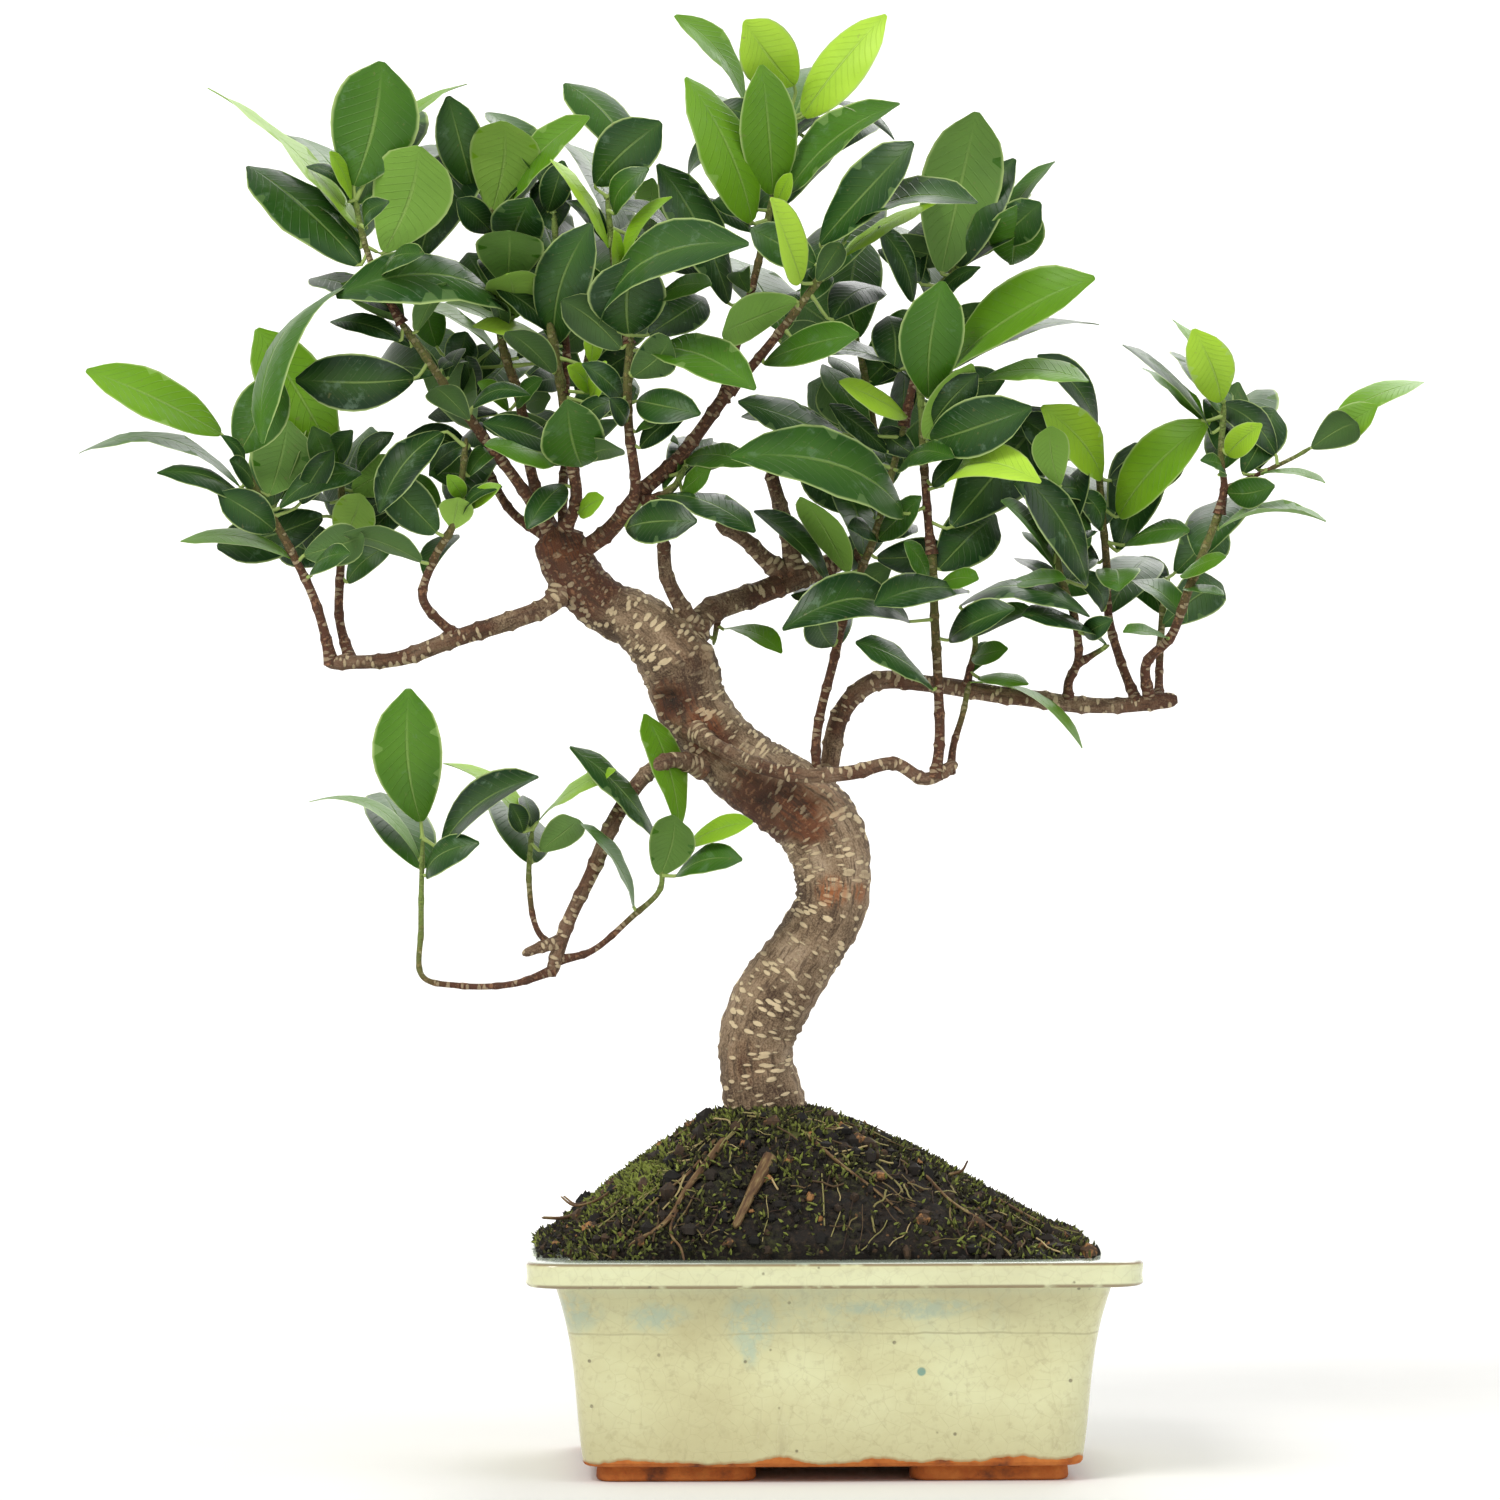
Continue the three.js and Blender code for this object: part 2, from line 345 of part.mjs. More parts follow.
// A closed skin over rings of equal count, with a fan over the first ring and the last
function skinOf(rings, start = middleOf(rings[0]), end = middleOf(rings[rings.length - 1])) {
  const count = rings[0].length;
  const triangles = [];
  for (let i = 0; i < count; i++) {
    const next = (i + 1) % count;
    triangles.push(start, rings[0][next], rings[0][i]);
    triangles.push(end, rings[rings.length - 1][i], rings[rings.length - 1][next]);
    for (let k = 0; k + 1 < rings.length; k++) {
      triangles.push(rings[k][i], rings[k][next], rings[k + 1][next]);
      triangles.push(rings[k][i], rings[k + 1][next], rings[k + 1][i]);
    }
  }
  return solidOf(new THREE.BufferGeometry().setFromPoints(triangles));
}

// --- pot ---

// A rounded rectangle at one height, its long sides bowed outwards
function roundedRing(halfLength, halfWidth, corner, z, bow = sideBow) {
  const ring = [];
  const steps = 3;
  const quarters = [[1, 1], [-1, 1], [-1, -1], [1, -1]];
  quarters.forEach(([sx, sy], quarter) => {
    for (let i = 0; i <= steps; i++) {
      const angle = (quarter + i / steps) * Math.PI / 2;
      const x = sx * (halfLength - corner) + corner * Math.cos(angle);
      const y = sy * (halfWidth - corner) + corner * Math.sin(angle);
      ring.push(new THREE.Vector3(x, y, z));
    }
    const next = quarters[(quarter + 1) % 4];
    if (sy === next[1]) {
      for (const share of [0.5, 0, -0.5]) {
        const x = sx * share * (halfLength - corner);
        ring.push(new THREE.Vector3(x, sy * (halfWidth + bow * Math.cos(share * Math.PI / 2)), z));
      }
    }
  });
  return ring;
}

const underRim = potHeight - rimBand;

// How far the outer wall stands in from the rim at a height: a flared foot and a hollow flank
function wallInset(z) {
  const share = (z - footHeight) / (underRim - footHeight);
  const hollow = 2 * Math.sin(share * Math.PI);
  return rimOverhang + (bottomInset - rimOverhang) * (1 - share) + hollow * share;
}

function potRing(inset, z) {
  const corner = Math.max(potCorner - inset * 0.2, 3);
  return roundedRing(potLength / 2 - inset, potWidth / 2 - inset, corner, z);
}

// Four rounded feet, a little smaller where they touch the ground, their tops sunk into the pot
function potFeet() {
  const reachX = potLength / 2 - bottomInset - footInset - footLength / 2;
  const reachY = potWidth / 2 - bottomInset - footInset - footWidth / 2;
  const footRing = (inset, z) => {
    const [halfLength, halfWidth] = [footLength / 2 - inset, footWidth / 2 - inset];
    return roundedRing(halfLength, halfWidth, halfWidth - 0.3, z, 0);
  };
  const foot = skinOf([footRing(0.5, 0), footRing(0, 0.5), footRing(0.2, footHeight + 1)]);
  const corners = [[-1, -1], [-1, 1], [1, -1], [1, 1]];
  return corners.map(([sx, sy]) => foot.translate([sx * reachX, sy * reachY, 0]));
}

function drainHole(x, radius) {
  const hole = new THREE.CylinderGeometry(radius, radius, potFloor * 4, 16);
  hole.rotateX(Math.PI / 2);
  hole.translate(x, 0, footHeight + potFloor / 2);
  return solidOf(hole);
}

function innerRings(clearance, top) {
  const levels = [top, underRim, 40, footHeight + potFloor + clearance];
  return levels.map((z) => potRing(wallInset(Math.min(z, underRim)) + potWall + clearance, z));
}

function potSolid() {
  const outer = [footHeight, 25, 45, underRim].map((z) => potRing(wallInset(z), z));
  const rim = [
    potRing(rimRound, underRim), potRing(0, underRim + rimRound), potRing(0, potHeight - rimRound),
    potRing(rimRound, potHeight), potRing(wallInset(underRim) + potWall - rimRound, potHeight)];
  const shell = skinOf([...outer, ...rim, ...innerRings(0, potHeight - rimRound)]);
  const holes = [-1, 1].map((side) => drainHole(side * drainSpacing / 2, drainRadius));
  return without(joined([shell, ...potFeet()]), holes);
}

const innerFloor = footHeight + potFloor;

function boxSolid(length, width, height, x, y, z) {
  return solidOf(new THREE.BoxGeometry(length, width, height).translate(x, y, z));
}

function drainageScreen(side) {
  const x = side * drainSpacing / 2;
  const size = 2 * (drainRadius + screenOverlap);
  const z = innerFloor + gap + screenThickness / 2;
  const pitch = 2 * drainRadius / screenSlots;
  const slots = [];
  for (let i = 0; i < screenSlots; i++) {
    const y = (i - (screenSlots - 1) / 2) * pitch;
    slots.push(boxSolid(size * 0.7, pitch * 0.5, screenThickness * 3, x, y, z));
  }
  return without(boxSolid(size, size, screenThickness, x, 0, z), slots);
}

// --- soil and moss ---

// The mound falls away from the trunk by a cosine to each end of the pot, and steeply to its long walls
function soilHeight(x, y) {
  const reach = x < trunkX ? potLength / 2 + trunkX + 14 : potLength / 2 - trunkX + 9;
  const along = Math.min(Math.abs(x - trunkX) / reach, 1);
  const ridge = (soilPeak + soilEdge) * (0.5 + 0.5 * Math.cos(Math.PI * along));
  const across = Math.min(Math.abs(y) / (potWidth / 2 - rimOverhang), 1);
  return potHeight - soilEdge + ridge * (1 - across ** 2.4);
}

function moundSolid() {
  const [nx, ny] = [14, 10];
  const [halfX, halfY] = [potLength / 2, potWidth / 2];
  const at = (i, j) => [-halfX + 2 * halfX * i / nx, -halfY + 2 * halfY * j / ny];
  const top = (i, j) => new THREE.Vector3(...at(i, j), soilHeight(...at(i, j)));
  const low = (i, j) => new THREE.Vector3(...at(i, j), innerFloor + gap);
  const triangles = [];
  const quad = (a, b, c, d) => triangles.push(a, b, c, a, c, d);
  for (let i = 0; i < nx; i++) {
    for (let j = 0; j < ny; j++) {
      quad(top(i, j), top(i + 1, j), top(i + 1, j + 1), top(i, j + 1));
      quad(low(i, j), low(i, j + 1), low(i + 1, j + 1), low(i + 1, j));
    }
    quad(low(i, 0), low(i + 1, 0), top(i + 1, 0), top(i, 0));
    quad(low(i + 1, ny), low(i, ny), top(i, ny), top(i + 1, ny));
  }
  for (let j = 0; j < ny; j++) {
    quad(low(0, j + 1), low(0, j), top(0, j), top(0, j + 1));
    quad(low(nx, j), low(nx, j + 1), top(nx, j + 1), top(nx, j));
  }
  return solidOf(new THREE.BufferGeometry().setFromPoints(triangles));
}

function soilSolid(wood) {
  const peak = potHeight + soilPeak * 2;
  const cavity = skinOf(innerRings(gap, peak).reverse());
  const screens = [-1, 1].map((side) => {
    const size = 2 * (drainRadius + screenOverlap + gap);
    const height = 2 * (screenThickness + 2 * gap);
    return boxSolid(size, size, height, side * drainSpacing / 2, 0, innerFloor + gap);
  });
  return largestBody(without(cavity.intersect(moundSolid()), [...wood, ...screens]));
}

// A domed cushion on the mound, with a wavy outline
function mossPad(x, y, halfLength, halfWidth, under) {
  const [rings, spokes] = [3, 12];
  const rows = [];
  for (let side = 0; side < 2; side++) {
    for (let r = 1; r <= rings; r++) {
      const share = side === 0 ? r / rings : 1 - (r - 1) / rings;
      const ring = [];
      for (let i = 0; i < spokes; i++) {
        const angle = 2 * Math.PI * i / spokes;
        const wave = share * (1 + 0.12 * Math.sin(3 * angle + x) + 0.08 * Math.sin(5 * angle));
        const px = x + halfLength * wave * Math.cos(angle);
        const py = y + halfWidth * wave * Math.sin(angle);
        const lift = side === 0 ? -1 : mossThickness * (1 - share ** 3);
        ring.push(new THREE.Vector3(px, py, soilHeight(px, py) + 0.8 + lift));
      }
      rows.push(ring);
    }
  }
  return largestBody(without(skinOf(rows), under));
}

// A thin piece lying on the mound along a few places (x, y, height over the soil)
function lyingTube(places, radius, under) {
  const rise = radius + gap;
  const points = places.map(([x, y, lift]) => new THREE.Vector3(x, y, soilHeight(x, y) + lift + rise));
  return largestBody(without(taperedTube(points, radius, radius * 0.7, 5, 2), under));
}

// --- wood ---

// A round tube through the points with its own frame carried along, its radius a list or from first to last
function taperedTube(points, firstRadius, lastRadius, sides, stepsPerSpan, radii = null) {
  const curve = new THREE.CatmullRomCurve3(points, false, 'centripetal');
  const steps = stepsPerSpan * (points.length - 1);
  const rings = [];
  let side = null;
  let previous = null;
  for (let k = 0; k <= steps; k++) {
    const t = k / steps;
    const centre = curve.getPoint(t);
    const tangent = curve.getTangent(t);
    if (side === null) {
      side = new THREE.Vector3(0.37, 1, 0.21).cross(tangent).normalize();
    } else {
      side.applyQuaternion(new THREE.Quaternion().setFromUnitVectors(previous, tangent));
    }
    previous = tangent;
    const across = new THREE.Vector3().crossVectors(tangent, side);
    const place01 = t * (points.length - 1);
    const low = Math.min(Math.floor(place01), points.length - 2);
    const radius = radii
      ? THREE.MathUtils.lerp(radii[low], radii[low + 1], place01 - low)
      : THREE.MathUtils.lerp(firstRadius, lastRadius, t);
    const ring = [];
    for (let i = 0; i < sides; i++) {
      const angle = 2 * Math.PI * i / sides;
      const out = side.clone().multiplyScalar(Math.cos(angle)).addScaledVector(across, Math.sin(angle));
      ring.push(centre.clone().addScaledVector(out, radius));
    }
    rings.push(ring);
  }
  return skinOf(rings);
}

function trunkSolid(extra) {
  const points = trunkRoute.map(place);
  const radii = trunkRoute.map(([, , , radius]) => radius * trunkGirth + extra);
  const stem = taperedTube(points, 0, 0, 10, 1, radii);
  const foot = place([trunkX, 106, 0]);
  const legs = roots.map(([degrees, reach, drop]) => {
    const angle = THREE.MathUtils.degToRad(degrees);
    const away = new THREE.Vector3(Math.cos(angle), Math.sin(angle) * 0.8, 0);
    const bend = foot.clone().addScaledVector(away, reach * 0.6).setZ(foot.z - drop * 0.25);
    const tip = foot.clone().addScaledVector(away, reach).setZ(foot.z - drop);
    return taperedTube([foot, bend, tip], 7 * trunkGirth + extra, 2.5 + extra, 6, 1);
  });
  return joined([stem, ...legs]);
}

function stemSolid({ girth, paths }, extra) {
  const tubes = paths.map((path, i) => {
    const share = i === 0 ? 1 : 0.65;
    const radii = girth.map((radius) => radius * share + extra);
    return taperedTube(path.map(place), radii[0], radii[1], girth[0] > 2.4 ? 6 : 4, 1);
  });
  return joined(tubes);
}

// --- leaves ---

// A blade from its base to its tip: shownWidth is how wide it looks from the front, negative where the
// underside shows, and the blade turns about its midrib by what is left of its real width. It bows by bend.
function leafFrame([bx, bz, by, tx, tz, ty, shownWidth, bend]) {
  const base = place([bx, bz, by]);
  const tip = place([tx, tz, ty]);
  const along = tip.clone().sub(base);
  const length = along.length();
  const width = Math.max(Math.abs(shownWidth), leafShape * length);
  const turn = Math.acos(Math.abs(shownWidth) / width);
  along.normalize();
  const front = new THREE.Vector3(0, -1, 0);
  front.addScaledVector(along, -front.dot(along)).normalize();
  const up = new THREE.Vector3().crossVectors(along, front);
  if (up.z < 0) {
    up.negate();
  }
  const facing = shownWidth > 0 ? 1 : -1;
  const normal = front.clone().multiplyScalar(facing * Math.cos(turn)).addScaledVector(up, Math.sin(turn));
  const side = new THREE.Vector3().crossVectors(normal, along);
  return { base, along, normal, side, length, width: width * leafWidth, bend };
}

// Across the blade: two edges a little raised and a keel below the midrib. A blade grown by extra all round
// has a ridge too, so that it holds the plain blade inside.
function bladeSection(centre, side, normal, reach, depth, extra) {
  const rise = reach * 0.12;
  const edge = (sign) => {
    const rim = centre.clone().addScaledVector(side, sign * (reach + 1.5 * extra));
    return rim.addScaledVector(normal, rise);
  };
  const ridge = extra > 0 ? [centre.clone().addScaledVector(normal, rise + 2 * extra)] : [];
  const keel = centre.clone().addScaledVector(normal, -depth - 2 * extra);
  return [edge(1), ...ridge, edge(-1), keel];
}

// The place on the shoot's own stems that a stalk would grow from
function stalkRoot(base, along, paths) {
  const aim = base.clone().addScaledVector(along, 4);
  let root = null;
  for (const path of paths) {
    for (const point of new THREE.CatmullRomCurve3(path.map(place), false, 'centripetal').getPoints(30)) {
      if (root === null || point.distanceTo(aim) < root.distanceTo(aim)) {
        root = point;
      }
    }
  }
  return root;
}

// A leaf is one skin: its stalk from the stem to the heel, then the blade to its tip
function leafSolid(row, paths, extra) {
  const { base, along, normal, side, length, width, bend } = leafFrame(row);
  const root = stalkRoot(base, along, paths);
  const away = base.clone().addScaledVector(along, 1).sub(root).normalize();
  let across = side.clone().addScaledVector(away, -side.dot(away));
  if (across.length() < 0.4) {
    across = normal.clone().addScaledVector(away, -normal.dot(away)).cross(away);
  }
  across.normalize();
  const over = new THREE.Vector3().crossVectors(away, across);
  const rings = [bladeSection(root, across, over, petioleRadius, petioleRadius, extra)];
  rings.push(bladeSection(base, side, normal, petioleRadius, petioleRadius, extra));
  const stations = length < shortBlade ? [[0.5, 1]] : [[0.36, 0.94], [0.72, 0.86]];
  for (const [share, fullness] of stations) {
    const centre = base.clone().addScaledVector(along, share * length);
    centre.addScaledVector(normal, 4 * bend * share * (1 - share));
    rings.push(bladeSection(centre, side, normal, width / 2 * fullness, leafThickness, extra));
  }
  const tip = base.clone().addScaledVector(along, length + 2 * extra);
  return skinOf(rings, root, tip);
}

function shootSolid(shoot, extra) {
  const leaves = shoot.leaves.map((row) => leafSolid(row, shoot.paths, extra));
  return joined([stemSolid(shoot, extra), ...leaves]);
}

// --- assembly ---

const potGlaze = { color: 0xdcdcb0, roughness: 0.22, metalness: 0 };
const screenPlastic = { color: 0x2c2d2b, roughness: 0.6, metalness: 0 };
const soilMix = { color: 0x3a2c20, roughness: 0.95, metalness: 0 };
const mossGreen = { color: 0x5c6a2a, roughness: 0.95, metalness: 0 };
const barkBrown = { color: 0x8b7a63, roughness: 0.8, metalness: 0 };
const dryWood = { color: 0xa98a5c, roughness: 0.85, metalness: 0 };
const leafGreen = { color: 0x3f7d14, roughness: 0.35, metalness: 0 };

const group = new THREE.Group();

function add(name, solid, finish) {
  const mesh = new THREE.Mesh(geometryOf(solid), new THREE.MeshStandardMaterial(finish));
  mesh.name = name;
  group.add(mesh);
}

// Each piece gives way to those before it and keeps the gap to them
function addPlant() {
  const wood = trunkSolid(0);
  const taken = [trunkSolid(gap)];
  add('trunk', wood, barkBrown);
  const grow = (name, solidWith, finish) => {
    add(name, largestBody(without(solidWith(0), taken)), finish);
    taken.push(solidWith(gap));
  };
  for (const [name, branch] of Object.entries(branches)) {
    grow(name, (extra) => stemSolid(branch, extra), barkBrown);
  }
  for (const [name, shoot] of Object.entries(shoots)) {
    grow(name, (extra) => shootSolid(shoot, extra), leafGreen);
  }
}

function addPot() {
  const wood = [trunkSolid(gap)];
  const soil = soilSolid(wood);
  const under = [...wood, soil, soil.translate([0, 0, gap])];
  add('pot', potSolid(), potGlaze);
  add('drainage_screen_left', drainageScreen(-1), screenPlastic);
  add('drainage_screen_right', drainageScreen(1), screenPlastic);
  add('soil_mound', soil, soilMix);
  add('moss_trunk_foot', mossPad(trunkX, -2, 27, 26, under), mossGreen);
  add('moss_left_slope', mossPad(trunkX - 45, -6, 15, 34, under), mossGreen);
  add('moss_right_ridge', mossPad(trunkX + 66, 0, 30, 30, under), mossGreen);
  const rootRun = [[-39, -37, 0], [-46, -44, 0], [-52, -52, 0], [-64, -57, 0]];
  add('surface_root', lyingTube(rootRun, 1.2, under), dryWood);
  add('wood_chip', lyingTube([[-19, -39, 0], [-25, -49, 0], [-31, -57, 0]], 2, under), dryWood);
  add('dry_twig', lyingTube([[-74, -10, 4], [-83, -12, 4], [-91, -14, 8]], 0.9, under), dryWood);
}

// The origin is the middle of the whole object's footprint box, on the ground
function centreOnGround() {
  const box = new THREE.Box3().setFromObject(group);
  const middle = box.getCenter(new THREE.Vector3());
  group.position.set(-middle.x, -middle.y, -box.min.z);
  group.updateMatrixWorld(true);
}

addPot();
addPlant();
centreOnGround();

export default group;
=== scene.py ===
# Bonsai fig in a glazed tray pot: bark, leaves, moss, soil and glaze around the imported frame. Metres, +Z up.
import bpy
import numpy as np
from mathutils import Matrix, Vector


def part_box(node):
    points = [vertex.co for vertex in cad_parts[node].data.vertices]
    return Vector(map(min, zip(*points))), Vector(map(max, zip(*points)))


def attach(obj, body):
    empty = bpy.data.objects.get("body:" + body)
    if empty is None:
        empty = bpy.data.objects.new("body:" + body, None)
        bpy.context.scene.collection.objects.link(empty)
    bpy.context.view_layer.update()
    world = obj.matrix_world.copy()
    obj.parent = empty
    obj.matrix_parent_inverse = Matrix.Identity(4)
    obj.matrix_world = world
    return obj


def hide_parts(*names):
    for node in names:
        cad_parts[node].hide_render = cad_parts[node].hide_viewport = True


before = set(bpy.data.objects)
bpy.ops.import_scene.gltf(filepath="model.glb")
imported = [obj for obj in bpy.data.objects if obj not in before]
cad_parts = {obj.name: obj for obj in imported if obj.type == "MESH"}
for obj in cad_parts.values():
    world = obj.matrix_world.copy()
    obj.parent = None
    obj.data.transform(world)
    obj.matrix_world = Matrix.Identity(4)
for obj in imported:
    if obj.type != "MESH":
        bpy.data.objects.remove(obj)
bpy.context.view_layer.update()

mm = 0.001

potLow, potHigh = [np.array(corner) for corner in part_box("pot")]
potCentre = (potLow + potHigh) / 2
plantDatum = 70 * mm  # the pot height that the plant's heights were taken over
viewPoint = {"x": -94, "y": -2000, "z": 228.3, "aimX": -24.3, "lens": 150}  # mm, in the pot's own frame
lift = potHigh[2] - plantDatum
trunkX = -20 * mm


def place(points):
    # (x, z, y) in mm as seen from the viewpoint on the plane y = 0; y moves a place along its line of sight
    p = np.asarray(points, float)
    share = (p[..., 2] - viewPoint["y"]) / -viewPoint["y"]
    x = viewPoint["x"] + (p[..., 0] - viewPoint["x"]) * share
    z = viewPoint["z"] + (p[..., 1] - viewPoint["z"]) * share
    return np.stack([x * mm + potCentre[0], p[..., 2] * mm + potCentre[1], z * mm + lift], -1)


# The plant's layout in mm, as (x, z, y) for place(). A stem runs from heel to tip, and girth is the main
# stem's radius at both ends. A leaf is its heel, its tip, the width it shows (minus from below), bend, tint.
branches = {
    "branch_left_upper": {"girth": [3.3, 2.2], "paths": [[[-84, 281, -3], [-88, 275, -6], [-100, 270, -8],
        [-117, 264.5, -7], [-137, 257.5, -5], [-160, 256, -4]]]},
    "branch_left_lower": {"girth": [2.6, 2.1], "paths": [[[-40, 223, -4], [-50, 225, -13], [-57, 221, -17],
        [-66, 209, -18], [-75, 189, -20], [-83, 172, -20], [-88, 156, -19]], [[-85, 167, -20],
        [-92, 165, -22], [-97, 163, -24]]]},
    "branch_right_upper": {"girth": [4, 3.3], "paths": [[[-44, 262, 2], [-38, 272, 8], [-20, 279, 14],
        [-10, 283, 16], [0, 287, 18], [12, 292, 20]], [[-14, 285, 16], [-20, 290, 14], [-25, 295, 12],
        [-35, 301, 9]], [[-10, 284, 16], [-12, 297, 15], [-15, 308, 14], [-18, 318, 13]], [[-41, 267, 4],
        [-45, 272, 0], [-51, 284, -3], [-52, 296, -5]]]},
    "branch_right_long": {"girth": [3.2, 2.5], "paths": [[[-2, 206, 4], [1, 222, 7], [5, 240, 9],
        [15, 250, 9], [33, 249.5, 8], [60, 245.5, 6], [90, 242.5, 4], [113, 244.5, 2]]]},
    "branch_front_low": {"girth": [2.6, 2], "paths": [[[-42, 235, -6], [-36, 230, -16], [-26, 225, -18],
        [-10, 220.5, -19], [8, 221, -19], [22, 224, -17], [32, 219, -15], [42, 224, -12]]]},
    "branch_crown": {"girth": [2.8, 1.9], "paths": [[[-84, 288, -2], [-70, 298, -8], [-60, 310, -11],
        [-47, 322, -12], [-35, 338, -12], [-29, 346, -12]]]},
}

